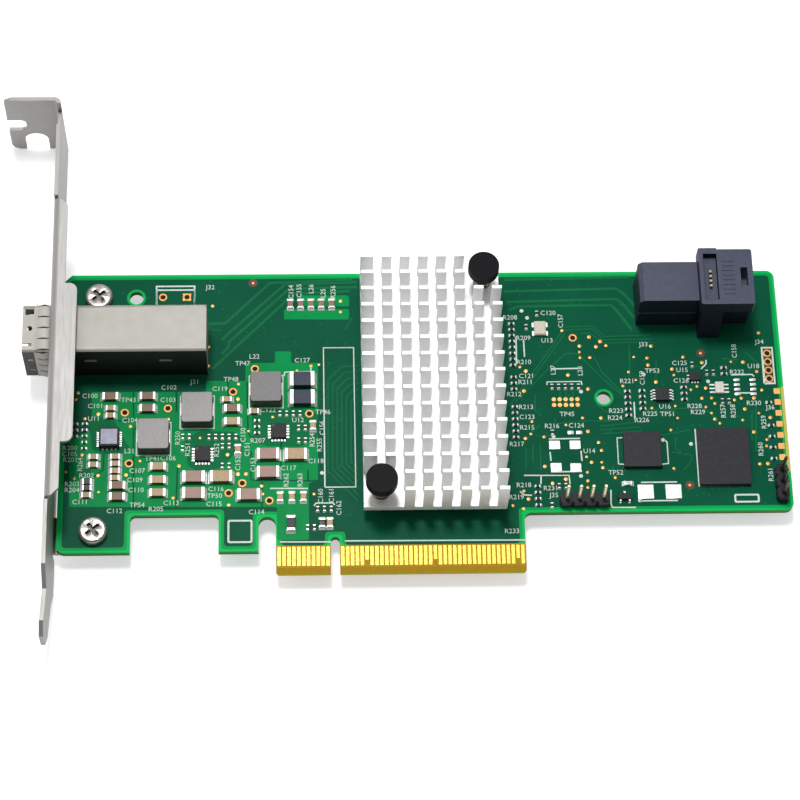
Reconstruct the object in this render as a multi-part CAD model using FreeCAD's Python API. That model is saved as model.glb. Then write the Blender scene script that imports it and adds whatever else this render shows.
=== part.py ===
import FreeCAD, Part
import math
import os
from FreeCAD import Vector

# Host bus adapter: a storage card for a computer's expansion slot, lying component side up.
# All lengths are millimetres. X runs along the card from the bracket to the far end, Y runs up from
# the contact edge and Z rises from the component face. The origin is the middle of the key notch,
# on the contact edge and in the component face.

# Circuit board
board_thickness = 1.57
board_left = 57.15
board_right = 95.25
board_height = 68.9
board_corner = 1.7
board_chamfer = 1.6
left_lower_edge = 5.0
right_lower_edge = 13.0
notch_width = 1.9
notch_height = 8.0
tongue_left = 12.15
tongue_right = 39.15
tongue_bevel_height = 1.3
tongue_bevel_depth = 0.45
wide_cut_from_left = 15.0
wide_cut_width = 18.2
wide_cut_top = 13.2
lower_tab_width = 8.2
narrow_cut_top = 12.6
inner_corner = 1.1
step_corner = 1.5
tongue_corner = 0.5
plain_hole_radius = 1.5

# Edge contacts
contact_pitch = 1.0
contact_width = 0.7
contact_thickness = 0.05
contact_foot = 1.7
contact_length = 4.2
short_contact_cut = 1.2
left_contact_count = 11
right_contact_count = 38
notch_to_contact = 1.5
short_contacts = (17, 31, 48)

# Bracket, a folded steel sheet
bracket_sheet = 0.86
bracket_bend = 0.6
bracket_gap = 0.59
bracket_width = 18.42
bracket_length = 120.02
bracket_drop = 2.46
ear_height = 103.3
ear_depth = 11.43
ear_overhang_low = 1.2
ear_overhang_high = 0.8
ear_neck_height = 4.7
ear_neck_cut = 2.5
ear_slot_depth = 4.0
ear_slot_width = 4.4
ear_slot_round = 1.3
ear_slot_from_low = 10.0
ear_notch_width = 5.1
ear_notch_height = 6.6
ear_notch_from_plate = 3.2
ear_notch_round_ratio = 0.49
ear_corner_width = 1.6
ear_corner_height = 1.0
ear_lobe_radius = 2.2
tongue_tip_width = 4.8
tongue_width = 10.19
tongue_length = 9.3
tongue_taper = 2.6
tongue_shoulder = 3.8
tongue_lean = 0.6
plate_corner = 0.6
cut_margin = 1.0
flange_bottom = 11.9
flange_top = 79.9
flange_narrow = 2.1
flange_wide = 4.6
flange_wide_bottom = 23.7
flange_wide_top = 59.7
flange_corner = 1.6
bend_relief = 0.8
tab_width = 8.0
tab_length = 12.0
port_clearance = 0.3

# Bracket screws
screw_radius = 1.5
screw_length = 3.2
screw_head_radius = 2.95
screw_head_height = 1.9
screw_head_rim = 1.3
screw_head_flat = 2.4
screw_recess_span = 3.2
screw_recess_arm = 0.75
screw_recess_depth = 0.9
screw_hole_gap = 0.15
screw_from_left = 7.5
lower_screw_height = 9.5
upper_screw_height = 63.1

# External port
cage_width = 10.7
cage_height = 11.8
cage_sheet = 0.3
cage_corner_cut = 0.3
cage_middle = 50.5
cage_reach = 31.4
nose_reach = 5.8
leg_width = 0.8
leg_below_board = 1.5
leg_hole_gap = 0.1
leg_count = 4
leg_pitch = 8.0
leg_from_back = 3.0
lid_window_size = (1.8, 1.3)
lid_window_inset = (0.5, 0.9)
lid_slot_size = (2.0, 0.6)
lid_slot_inset = 1.3
nose_hole_inset = 1.5
lid_hole_radius = 0.55
side_vent_size = (1.1, 0.9)
side_vent_heights = (0.25, 0.65)
side_slot_from_back = (8.5, 24.0)
side_slot_size = (2.2, 0.7)
side_slot_height = 0.6
collar_sheet = 0.15
collar_bulge = 0.35
collar_length = 2.7
collar_band = 0.6
collar_finger_count = 4
collar_slit = 0.3
collar_plate_gap = 0.1
receptacle_length = 14.0
receptacle_gap = 0.1
card_slot_height = 1.9
card_slot_depth = 9.0
card_slot_side_wall = 0.8
card_slot_spacing = 4.6
port_contact_count = 9
port_contact_pitch = 0.8
port_contact_width = 0.36
port_contact_thickness = 0.25
port_contact_length = 6.0

# Heat sink and its holders
sink_width = 29.5
sink_length = 54.0
sink_left = 5.9
sink_from_top = 2.3
sink_base = 1.7
fin_height = 8.9
fin_column_count = 8
fin_row_count = 15
fin_width = 2.1
edge_fin_width = 2.75
fin_thickness = 0.8
cleared_column_count = 2
cleared_row_count = 2
chip_side = 21.0
chip_substrate = 1.1
chip_lid_side = 16.0
chip_lid = 1.6
pad_side = 15.0
pad_thickness = 0.2
pin_inset_x = 3.6
pin_inset_y = 2.85
pin_head_radius = 3.25
pin_head_height = 2.5
pin_stem_side = 1.8
pin_barb_reach = 1.5
pin_barb_height = 2.5
pin_tip_reach = 0.6
pin_split = 0.6
pin_hole_gap = 0.2
pin_rise = 6.2
spring_wire = 0.25
spring_gap = 0.15
spring_turn_count = 4
spring_runs_per_turn_count = 8

# Internal port
socket_from_right = 30.6
socket_block_length = 12.45
socket_width = 9.2
socket_from_top = 3.4
socket_height = 10.9
socket_wall = 1.1
socket_edge = 0.9
socket_roof = 0.8
socket_ledge = 0.25
socket_ledge_height = 5.4
hood_length = 11.3
hood_width = 13.0
hood_corner = 0.35
hood_shift = 0.35
hood_top = 13.6
hood_skirt = 3.9
hood_wall = 1.0
hood_leg_from_hood = 0.5
hood_leg_length = 4.6
hood_leg_flare = 1.2
hood_rib_length = 3.9
hood_rib = 0.3
trough_from_hood = 1.0
trough_length = 2.8
trough_width = 10.8
trough_depth = 1.6
latch_window_length = 1.4
latch_window_width = 4.2
latch_window_from_end = 1.2
insert_length = 4.5
insert_slot_depth = 3.6
insert_gap = 0.1
trough_contact_count = 4
trough_contact_pitch = 1.1
trough_contact_side = 0.6
trough_contact_height = 0.8

# Power parts, placed from the bracket end of the board
inductor_side = 6.9
inductor_height = 3.0
inductor_corner = 0.4
inductor_terminal_width = 3.0
inductor_terminal = 0.2
inductor_places = ((28.6, 36.4), (19.6, 30.4), (43.0, 41.0))
module_side = 4.2
module_height = 1.6
module_place = (10.4, 30.4)
regulator_side = 3.3
regulator_height = 0.9
regulator_places = ((29.8, 26.7), (45.6, 31.8))
moulded_length = 5.2
moulded_width = 3.3
moulded_height = 1.8
moulded_end = 0.8
moulded_places = ((50.6, 43.3), (50.6, 39.1))

# Chip capacitors and resistors: length, width, height and, on all but the tiny ones, tinned end
large_size = (4.6, 2.5, 1.3, 0.65)
medium_size = (3.3, 1.7, 1.0, 0.55)
small_size = (2.0, 1.2, 0.7, 0.4)
tiny_size = (1.1, 0.55, 0.45)
large_places = ((28.0, 21.4), (28.0, 17.7), (33.7, 21.4), (39.4, 17.3),
                (43.4, 26.4), (43.4, 22.3), (49.2, 26.3))
medium_places = ((20.6, 23.9), (20.6, 20.9), (20.6, 18.0), (35.9, 37.0), (35.9, 34.0),
                 (10.4, 40.0), (18.2, 40.0), (18.2, 37.2), (12.3, 19.7), (12.3, 17.2))
small_places = ((10.5, 37.4), (10.5, 35.7), (7.2, 26.3), (7.2, 24.5), (11.7, 26.3), (11.7, 24.7),
                (11.7, 23.1), (11.7, 21.5), (34.8, 39.2), (40.5, 36.4), (5.9, 17.7))
small_upright_places = ((45.9, 16.9), (48.3, 16.9), (50.7, 16.9), (54.5, 11.0),
                        (56.1, 11.0), (52.8, 33.0), (37.1, 27.7))
top_row_left = 48.2
top_row_from_top = 7.4
top_row_pitch = 2.2
top_row_count = 5
tiny_pitch = 1.4
tiny_columns_left = ((5.2, 33.9, 28.3), (3.2, 33.9, 31.1), (41.1, 34.3, 31.5))
tiny_rows_left = ((31.1, 36.7, 30.7), (33.9, 35.3, 28.6), (33.9, 35.3, 24.1), (45.9, 50.1, 35.9),
                  (49.8, 51.2, 32.6), (49.8, 51.2, 29.7), (53.6, 56.4, 14.2), (51.5, 52.9, 10.1),
                  (25.6, 27.0, 30.8), (25.6, 25.6, 28.1))
tiny_columns_sink = ((56.5, 46.7), (43.9, 41.1), (37.0, 30.0))
tiny_from_sink = 2.7
tiny_columns_right = ((53.1, 18.8, 14.6), (33.2, 40.4, 34.8), (30.1, 40.5, 36.3),
                      (21.2, 41.2, 38.4), (12.4, 45.7, 44.3), (3.4, 37.5, 37.5))
tiny_rows_right = ((51.6, 51.6, 58.9), (54.0, 54.0, 55.7), (49.1, 43.5, 41.6), (49.5, 49.5, 31.0),
                   (48.6, 47.2, 18.8), (50.3, 50.3, 14.5), (16.1, 14.7, 44.6), (13.2, 11.8, 37.9),
                   (19.1, 19.1, 46.5))
edge_resistor_from_right = 3.3
edge_resistor_top = 32.2
edge_resistor_pitch = 2.54
edge_resistor_count = 4
resistor_places = ((6.0, 20.7), (6.0, 19.3))
fuse_place = (48.1, 10.9)

# Chips and small parts, placed from the far end of the board
flash_side = 7.9
flash_height = 1.2
flash_place = (30.9, 26.6)
memory_length = 10.8
memory_width = 12.8
memory_height = 1.1
memory_place = (13.9, 24.9)
interface_side = 2.9
interface_height = 0.9
interface_stand_off = 0.1
interface_place = (25.9, 39.4)
interface_lead_pitch = 0.65
interface_lead_count = 4
interface_lead_reach = 1.0
lead_width = 0.3
lead_thickness = 0.13
lead_foot = 0.5
logic_size = (2.4, 1.9, 0.8)
logic_place = (18.7, 43.6)
resonator_size = (1.8, 2.6, 0.8)
resonator_place = (13.7, 40.9)
oscillator_size = (2.5, 3.2, 0.9)
oscillator_lid_inset = 0.2
oscillator_lid = 0.15
oscillator_place = (51.1, 55.2)
transistor_size = (2.9, 1.3, 0.95)
transistor_lead_spread = 0.95
transistor_lead_width = 0.42
transistor_lead_bend = 0.3
transistor_lead_reach = 0.7
transistor_place = (35.1, 16.2)
light_size = (1.6, 0.85, 0.6)
light_end = 0.35
light_place = (34.3, 19.2)

# Pin headers
header_pitch = 2.54
header_pin_side = 0.64
header_pin_rise = 8.6
header_tail = 1.4
header_notch = 0.45
header_hole_gap = 0.1
row_header_pin_count = 4
row_header_place = (43.6, 15.2)
edge_header_pin_count = 3
edge_header_place = (2.3, 18.6)

# Bare holes in the board
left_hole_from_left = 15.4
left_hole_from_top = 5.5
middle_hole_from_right = 38.25
middle_hole_height = 39.0

# Places that follow from the sizes above
left_end = -board_left
solder_face = -board_thickness
plate_inner = left_end - bracket_gap
plate_outer = plate_inner - bracket_sheet
plate_low = solder_face - bracket_drop
plate_high = plate_low + bracket_width
screw_x = left_end + screw_from_left
screw_places = ((screw_x, lower_screw_height), (screw_x, upper_screw_height))
cage_front = plate_outer - nose_reach
cage_back = plate_inner + cage_reach
cage_low_side = cage_middle - cage_width / 2
cage_high_side = cage_middle + cage_width / 2
sink_right = sink_left + sink_width
sink_back = board_height - sink_from_top
sink_front = sink_back - sink_length
sink_seat = chip_substrate + chip_lid + pad_thickness
sink_floor = sink_seat + sink_base
fin_pitch_y = (sink_length - fin_thickness) / (fin_row_count - 1)
pin_stem_reach = pin_stem_side / math.sqrt(2)
spring_radius = pin_stem_reach + spring_gap + spring_wire
pin_places = ((sink_left + pin_inset_x, sink_front + pin_inset_y),
              (sink_right - pin_inset_x, sink_back - pin_inset_y))
socket_left = board_right - socket_from_right
socket_high_side = board_height - socket_from_top
socket_low_side = socket_high_side - socket_width
socket_middle = socket_high_side - socket_width / 2
hood_middle = socket_middle - hood_shift
hood_left = socket_left + socket_block_length
hood_right = hood_left + hood_length


def box(low, high):
    """Box between two corners."""
    size = Vector(*high) - Vector(*low)
    return Part.makeBox(size.x, size.y, size.z, Vector(*low))


def post(x, y, low, high, radius):
    """Round post along Z."""
    return Part.makeCylinder(radius, high - low, Vector(x, y, low))


def outline(corners, to_space):
    """Flat face from (u, v, radius) corners in order. A radius above zero rounds its corner."""
    entries = []
    exits = []
    middles = []
    for index, (u, v, radius) in enumerate(corners):
        here = Vector(u, v, 0)
        before = Vector(*corners[index - 1][:2], 0) - here
        after = Vector(*corners[(index + 1) % len(corners)][:2], 0) - here
        before.normalize()
        after.normalize()
        half = before.getAngle(after) / 2
        reach = radius / math.tan(half)
        entries.append(here + before * reach)
        exits.append(here + after * reach)
        bisector = before + after
        if radius > 0:
            bisector.normalize()
            middles.append(here + bisector * (radius / math.sin(half) - radius))
        else:
            middles.append(None)
    place = lambda point: to_space(point.x, point.y)
    edges = []
    for index, middle in enumerate(middles):
        if middle is not None:
            arc = Part.Arc(place(entries[index]), place(middle), place(exits[index]))
            edges.append(arc.toShape())
        following = entries[(index + 1) % len(entries)]
        if exits[index].distanceToPoint(following) > 1e-6:
            edges.append(Part.makeLine(place(exits[index]), place(following)))
    return Part.Face(Part.Wire(edges))


def plate(corners, low, high):
    """Plate with its outline in X and Y, between two heights."""
    face = outline(corners, lambda u, v: Vector(u, v, low))
    return face.extrude(Vector(0, 0, high - low))


def wall(corners, start, end):
    """Wall with its outline in Y and Z, between two X places."""
    face = outline(corners, lambda u, v: Vector(start, u, v))
    return face.extrude(Vector(end - start, 0, 0))


def rail(corners, start, end):
    """Rail with its outline in X and Z, between two Y places."""
    face = outline(corners, lambda u, v: Vector(u, start, v))
    return face.extrude(Vector(0, end - start, 0))


def folded(path, sheet, bend):
    """Corners of a folded sheet's section. The path is one face and the sheet lies to its left."""
    steps = []
    for start, end in zip(path, path[1:]):
        step = Vector(end[0] - start[0], end[1] - start[1], 0)
        steps.append(step.normalize())
    lefts = [Vector(-step.y, step.x, 0) for step in steps]
    near = []
    far = []
    for index, (u, v) in enumerate(path):
        before = lefts[max(index - 1, 0)]
        after = lefts[min(index, len(lefts) - 1)]
        shift = (before + after) * (sheet / (1 + before.dot(after)))
        near_radius = 0
        far_radius = 0
        if 0 < index < len(path) - 1:
            left_turn = steps[index - 1].cross(steps[index]).z > 0
            near_radius = bend + sheet if left_turn else bend
            far_radius = bend if left_turn else bend + sheet
        near.append((u, v, near_radius))
        far.append((u + shift.x, v + shift.y, far_radius))
    return near + far[::-1]


def cut_cornered(low, high, cut):
    """Corners of a rectangle with its corners cut at 45 degrees."""
    left, bottom = low
    right, top = high
    return [(left + cut, bottom, 0), (right - cut, bottom, 0),
            (right, bottom + cut, 0), (right, top - cut, 0),
            (right - cut, top, 0), (left + cut, top, 0),
            (left, top - cut, 0), (left, bottom + cut, 0)]


def turned(profile):
    """Solid of revolution about Z from (radius, height) corners."""
    face = outline([(radius, height, 0) for radius, height in profile], lambda u, v: Vector(u, 0, v))
    return face.revolve(Vector(0, 0, 0), Vector(0, 0, 1), 360)


def from_left(places):
    """Places counted from the bracket end of the board."""
    return [(left_end + x, y) for x, y in places]


def from_right(place):
    """A place counted from the far end of the board."""
    return (board_right - place[0], place[1])


def block(place, size):
    """Box standing on the component face, centred on a place."""
    x, y = place
    length, width, height = size
    return box((x - length / 2, y - width / 2, 0), (x + length / 2, y + width / 2, height))


def chip_parts(places, size, upright=False):
    """Ceramic bodies and tinned ends of chip capacitors or resistors."""
    length, width, height, end = size
    bodies = []
    ends = []
    for x, y in places:
        body = block((0, 0), (length - 2 * end, width, height))
        pieces = [body]
        for side in (-1, 1):
            pieces.append(block((side * (length - end) / 2, 0), (end, width, height)))
        for piece in pieces:
            if upright:
                piece.rotate(Vector(0, 0, 0), Vector(0, 0, 1), 90)
            piece.translate(Vector(x, y, 0))
        bodies.append(pieces[0])
        ends.extend(pieces[1:])
    return bodies, ends


def header_row(place, count, along_x):
    """Pin places of a header, centred on a place."""
    x, y = place
    row = []
    for index in range(count):
        step = (index - (count - 1) / 2) * header_pitch
        row.append((x + step, y) if along_x else (x, y + step))
    return row


row_header_holes = header_row(from_right(row_header_place), row_header_pin_count, True)
edge_header_holes = header_row(from_right(edge_header_place), edge_header_pin_count, False)


def leg_places():
    """Middles of the cage's press-fit legs."""
    places = []
    for index in range(leg_count):
        x = cage_back - leg_from_back - index * leg_pitch
        places.append((x, cage_low_side + cage_sheet / 2))
        places.append((x, cage_high_side - cage_sheet / 2))
    return places


def board_holes():
    """Round holes of the board as (x, y, radius)."""
    holes = [(x, y, screw_radius + screw_hole_gap) for x, y in screw_places]
    holes += [(x, y, pin_stem_reach + pin_hole_gap) for x, y in pin_places]
    holes.append((left_end + left_hole_from_left, board_height - left_hole_from_top, plain_hole_radius))
    holes.append((board_right - middle_hole_from_right, middle_hole_height, plain_hole_radius))
    return holes


def pin_slots():
    """Cuts in the board for header pins and the cage's legs."""
    cuts = [(place, header_pin_side, header_pin_side, header_hole_gap)
            for place in row_header_holes + edge_header_holes]
    cuts += [(place, leg_width, cage_sheet, leg_hole_gap) for place in leg_places()]
    slots = []
    for (x, y), length, width, gap in cuts:
        slot = block((x, y), (length + 2 * gap, width + 2 * gap, board_thickness))
        slot.translate(Vector(0, 0, solder_face))
        slots.append(slot)
    return slots


def make_board():
    half_notch = notch_width / 2
    cut_left = left_end + wide_cut_from_left
    cut_right = cut_left + wide_cut_width
    tab_right = cut_right + lower_tab_width
    slot_round = (-tongue_left - tab_right) / 2
    corners = [
        (-tongue_left, tongue_corner, 0), (tongue_corner - tongue_left, 0, 0), (-half_notch, 0, 0),
        (-half_notch, notch_height, half_notch), (half_notch, notch_height, half_notch),
        (half_notch, 0, 0), (tongue_right - tongue_corner, 0, 0), (tongue_right, tongue_corner, 0),
        (tongue_right, right_lower_edge, step_corner),
        (board_right, right_lower_edge, board_corner), (board_right, board_height, board_corner),
        (left_end + board_chamfer, board_height, 0), (left_end, board_height - board_chamfer, 0),
        (left_end, left_lower_edge, board_corner), (cut_left, left_lower_edge, 0),
        (cut_left, wide_cut_top, inner_corner), (cut_right, wide_cut_top, inner_corner),
        (cut_right, left_lower_edge, 0), (tab_right, left_lower_edge, 0),
        (tab_right, narrow_cut_top, slot_round), (-tongue_left, narrow_cut_top, slot_round),
    ]
    board = plate(corners, solder_face, 0)
    drills = [post(x, y, solder_face, 0, radius) for x, y, radius in board_holes()]
    bevels = []
    for face, inward in ((0, -1), (solder_face, 1)):
        wedge = [(0, face, 0), (tongue_bevel_height, face, 0), (0, face + inward * tongue_bevel_depth, 0)]
        bevels.append(wall(wedge, -tongue_left, tongue_right))
    return [board.cut(drills + pin_slots() + bevels)]


def contact_places():
    """Contact numbers and X places along the edge."""
    places = []
    for index in range(left_contact_count):
        number = left_contact_count - index
        places.append((number, -notch_to_contact - index * contact_pitch))
    for index in range(right_contact_count):
        places.append((left_contact_count + 1 + index, notch_to_contact + index * contact_pitch))
    return places


def make_contacts(low):
    """Gold pads of one board face, lying from a height upward."""
    pads = []
    for number, x in contact_places():
        foot = contact_foot + (short_contact_cut if number in short_contacts else 0)
        half = contact_width / 2
        head = contact_foot + contact_length
        pads.append(box((x - half, foot, low), (x + half, head, low + contact_thickness)))
    return pads


def plate_outline():
    """Flat outline of the bracket in Y and Z, from the tongue to the ear."""
    ear_top = ear_height + bracket_sheet
    tip = ear_top - bracket_length
    shoulder = tip + tongue_length
    middle = (plate_low + plate_high) / 2
    ear_low = plate_low - ear_overhang_low
    ear_high = plate_high + ear_overhang_high
    ear_root = ear_height - bracket_bend
    neck = ear_root - ear_neck_height
    soft = plate_corner
    return [
        (tip, middle - tongue_tip_width / 2, soft), (tip + tongue_taper, middle - tongue_width / 2, 0),
        (shoulder, middle - tongue_width / 2, 0), (shoulder + tongue_shoulder, plate_low, 0),
        (ear_root, plate_low, 0), (ear_root, ear_low, 0),
        (ear_top, ear_low, 0), (ear_top, ear_high, 0),
        (ear_root, ear_high, 0), (ear_root, plate_high - ear_neck_cut, 0),
        (neck, plate_high - ear_neck_cut, 0), (neck, plate_high, 0),
        (shoulder + tongue_shoulder, plate_high, 0), (shoulder, middle + tongue_width / 2, 0),
        (tip + tongue_taper, middle + tongue_width / 2, 0), (tip, middle + tongue_tip_width / 2, soft),
    ]


def ear_cuts():
    """Slot in the end of the ear, screw notch in its lower side, cut corner and round lobe."""
    tip = plate_outer - ear_depth
    low = plate_low - ear_overhang_low
    high = plate_high + ear_overhang_high
    bottom = ear_height - bracket_sheet
    top = ear_height + 2 * bracket_sheet
    slot_low = low + ear_slot_from_low - ear_slot_width / 2
    slot_high = slot_low + ear_slot_width
    slot_end = tip + ear_slot_depth
    slot = [(tip - cut_margin, slot_low, 0), (slot_end, slot_low, ear_slot_round),
            (slot_end, slot_high, ear_slot_round), (tip - cut_margin, slot_high, 0)]
    right = plate_outer - ear_notch_from_plate
    left = right - ear_notch_width
    notch_round = ear_notch_round_ratio * ear_notch_width
    notch_end = low + ear_notch_height
    notch = [(left, low - cut_margin, 0), (right, low - cut_margin, 0),
             (right, notch_end, notch_round), (left, notch_end, notch_round)]
    corner = [(tip, high - ear_corner_height, 0), (tip + ear_corner_width, high, 0), (tip, high, 0)]
    reach = ear_lobe_radius
    lobe = box((tip, bottom, low), (tip + reach, top, low + reach))
    lobe = lobe.cut(Part.makeCylinder(reach, top - bottom, Vector(tip + reach, bottom, low + reach), Vector(0, 1, 0)))
    return [rail(section, bottom, top) for section in (slot, notch, corner)] + [lobe]


def make_bracket():
    ear_top = ear_height + bracket_sheet
    tip = ear_top - bracket_length
    low = plate_low - ear_overhang_low
    high = plate_high + ear_overhang_high
    path = [(plate_inner - tongue_lean, tip), (plate_inner, tip + tongue_length),
            (plate_inner, ear_top), (plate_outer - ear_depth, ear_top)]
    sheet = plate(folded(path, bracket_sheet, bracket_bend), low, high)
    outside = plate_outer - cut_margin
    inside = plate_inner + cut_margin
    sheet = sheet.common(wall(plate_outline(), outside - ear_depth, inside))
    rim = bracket_bend + bracket_sheet
    cuts = ear_cuts()
    cuts.append(box((outside, flange_bottom - bend_relief, plate_high - rim),
                    (inside, flange_top + bend_relief, plate_high + cut_margin)))
    cuts.append(box((outside, cage_low_side - port_clearance, -port_clearance),
                    (inside, cage_high_side + port_clearance, cage_height + port_clearance)))
    tab_face = solder_face - bracket_sheet
    half_cut = tab_width / 2 + bend_relief
    for x, y in screw_places:
        cuts.append(box((outside, y - half_cut, plate_low - cut_margin),
                        (inside, y + half_cut, tab_face + rim)))
    sheet = sheet.cut(cuts)
    additions = [make_flange(rim)]
    tab_path = [(plate_outer, tab_face + rim), (plate_outer, tab_face), (plate_inner + tab_length, tab_face)]
    section = folded(tab_path, bracket_sheet, bracket_bend)
    for x, y in screw_places:
        tab = rail(section, y - tab_width / 2, y + tab_width / 2)
        thread = post(x, y, tab_face, solder_face, screw_radius)
        additions.append(tab.cut(thread))
    return [sheet.fuse(additions).removeSplitter()]


def make_flange(rim):
    """Stiffening edge of the bracket: narrow along the plate, wide over the port."""
    narrow_edge = plate_inner + flange_narrow
    wide_edge = plate_inner + flange_wide
    path = [(narrow_edge, plate_high), (plate_outer, plate_high), (plate_outer, plate_high - rim)]
    narrow = rail(folded(path, bracket_sheet, bracket_bend), flange_bottom, flange_top)
    low = plate_high - bracket_sheet
    corners = []
    for end, inward in ((flange_bottom, 1), (flange_top, -1)):
        trim = [(narrow_edge, end, 0), (narrow_edge, end + inward * flange_corner, 0),
                (narrow_edge - flange_corner, end, 0)]
        corners.append(plate(trim, low, plate_high))
    root = plate_inner + bracket_bend
    wide = [(root, flange_wide_bottom, 0), (wide_edge, flange_wide_bottom, flange_corner),
            (wide_edge, flange_wide_top, flange_corner), (root, flange_wide_top, 0)]
    return narrow.cut(corners).fuse(plate(wide, low, plate_high)).removeSplitter()


def make_screws():
    screws = []
    profile = [(0, -screw_length), (screw_radius, -screw_length), (screw_radius, 0), (screw_head_radius, 0),
               (screw_head_radius, screw_head_rim), (screw_head_flat, screw_head_height),
               (0, screw_head_height)]
    body = turned(profile)
    floor = screw_head_height - screw_recess_depth
    half = screw_recess_span / 2
    arm = screw_recess_arm / 2
    above = screw_head_height + screw_recess_depth
    recess = [box((-half, -arm, floor), (half, arm, above)), box((-arm, -half, floor), (arm, half, above))]
    body = body.cut(recess)
    for x, y in screw_places:
        screw = body.copy()
        screw.translate(Vector(x, y, 0))
        screws.append(screw)
    return screws


def make_cage():
    skin = cut_cornered((cage_low_side, 0), (cage_high_side, cage_height), cage_corner_cut)
    shell = wall(skin, cage_front, cage_back)
    hollow = box((cage_front, cage_low_side + cage_sheet, cage_sheet),
                 (cage_back - cage_sheet, cage_high_side - cage_sheet, cage_height - cage_sheet))
    legs = []
    for x, y in leg_places():
        legs.append(box((x - leg_width / 2, y - cage_sheet / 2, solder_face - leg_below_board),
                        (x + leg_width / 2, y + cage_sheet / 2, cage_corner_cut + cage_sheet)))
    shell = shell.fuse(legs).cut(hollow)
    top = cage_height - 2 * cage_sheet
    window_left = cage_front + lid_window_inset[0]
    window_back = cage_high_side - lid_window_inset[1]
    slot_front = cage_low_side + lid_slot_inset
    hole_x = cage_front + nose_hole_inset
    holes = [
        box((window_left, window_back - lid_window_size[1], top),
            (window_left + lid_window_size[0], window_back, cage_height)),
        box((cage_front, slot_front, top),
            (cage_front + lid_slot_size[0], slot_front + lid_slot_size[1], cage_height)),
        post(hole_x, cage_middle, top, cage_height, lid_hole_radius),
    ]
    for part in side_vent_heights:
        vent_left = hole_x - side_vent_size[0] / 2
        vent_low = cage_height * part - side_vent_size[1] / 2
        holes.append(box((vent_left, cage_low_side, vent_low),
                         (vent_left + side_vent_size[0], cage_high_side, vent_low + side_vent_size[1])))
    slot_low = cage_height * side_slot_height
    for distance in side_slot_from_back:
        slot_left = cage_back - distance - side_slot_size[0] / 2
        holes.append(box((slot_left, cage_low_side, slot_low),
                         (slot_left + side_slot_size[0], cage_high_side, slot_low + side_slot_size[1])))
    return [shell.cut(holes)]


def make_collar():
    """Spring band around the nose with fingers that bow outward and rest by the bracket."""
    band_end = plate_outer - collar_length
    tip = plate_outer - collar_plate_gap
    sheet = collar_sheet
    skin = cut_cornered((cage_low_side, 0), (cage_high_side, cage_height), cage_corner_cut)
    cover = cut_cornered((cage_low_side - sheet, -sheet), (cage_high_side + sheet, cage_height + sheet),
                         cage_corner_cut + sheet)
    band = wall(cover, band_end - collar_band, band_end)
    band = band.cut(wall(skin, band_end - collar_band, band_end))
    fingers = []
    middle = (band_end + tip) / 2
    for along, half_span, seat in (("y", cage_width / 2, cage_height), ("z", cage_height / 2, cage_width)):
        usable = 2 * (half_span - cage_corner_cut - sheet)
        width = (usable - (collar_finger_count - 1) * collar_slit) / collar_finger_count
        for index in range(collar_finger_count):
            start = -usable / 2 + index * (width + collar_slit)
            for side in (-1, 1):
                base = side * seat / 2
                crest = base + side * collar_bulge
                lift = side * sheet
                section = [(band_end, base, 0), (middle, crest, 0), (tip, base, 0),
                           (tip, base + lift, 0), (middle, crest + lift, 0), (band_end, base + lift, 0)]
                if along == "y":
                    finger = rail(section, start, start + width)
                else:
                    finger = plate(section, start, start + width)
                finger.translate(Vector(0, cage_middle, cage_height / 2))
                fingers.append(finger)
    return [band.fuse(fingers).removeSplitter()]


def card_slots(middle):
    """Lower and upper slot heights of a port, around its middle height."""
    return [middle - card_slot_spacing / 2, middle + card_slot_spacing / 2]


def slot_contacts(start, middle_y, middle_z, run, count):
    """Contact strips on the floor and ceiling of both slots, with a run along X from their start."""
    strips = []
    left = min(start, start + run)
    right = max(start, start + run)
    half = port_contact_width / 2
    thickness = port_contact_thickness
    for height in card_slots(middle_z):
        floor = height - card_slot_height / 2
        ceiling = height + card_slot_height / 2
        for index in range(count):
            y = middle_y + (index - (count - 1) / 2) * port_contact_pitch
            for low in (floor, ceiling - thickness):
                strips.append(box((left, y - half, low), (right, y + half, low + thickness)))
    return strips


def make_receptacle():
    back = cage_back - cage_sheet - receptacle_gap
    front = back - receptacle_length
    wall_gap = cage_sheet + receptacle_gap
    section = cut_cornered((cage_low_side + wall_gap, cage_sheet),
                           (cage_high_side - wall_gap, cage_height - wall_gap), cage_corner_cut)
    body = wall(section, front, back)
    half = cage_width / 2 - wall_gap - card_slot_side_wall
    slots = []
    for height in card_slots(cage_height / 2):
        slots.append(box((front, cage_middle - half, height - card_slot_height / 2),
                         (front + card_slot_depth, cage_middle + half, height + card_slot_height / 2)))
    contacts = slot_contacts(front + card_slot_depth, cage_middle, cage_height / 2,
                             -port_contact_length, port_contact_count)
    return [body.cut(slots)], contacts


def fin_columns():
    """Left and right sides of each column of fins, of which the first is wider."""
    spaces = fin_column_count - 1
    gap = (sink_width - edge_fin_width - spaces * fin_width) / spaces
    columns = [(sink_left, sink_left + edge_fin_width)]
    for index in range(spaces):
        start = columns[-1][1] + gap
        columns.append((start, start + fin_width))
    return columns


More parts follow.
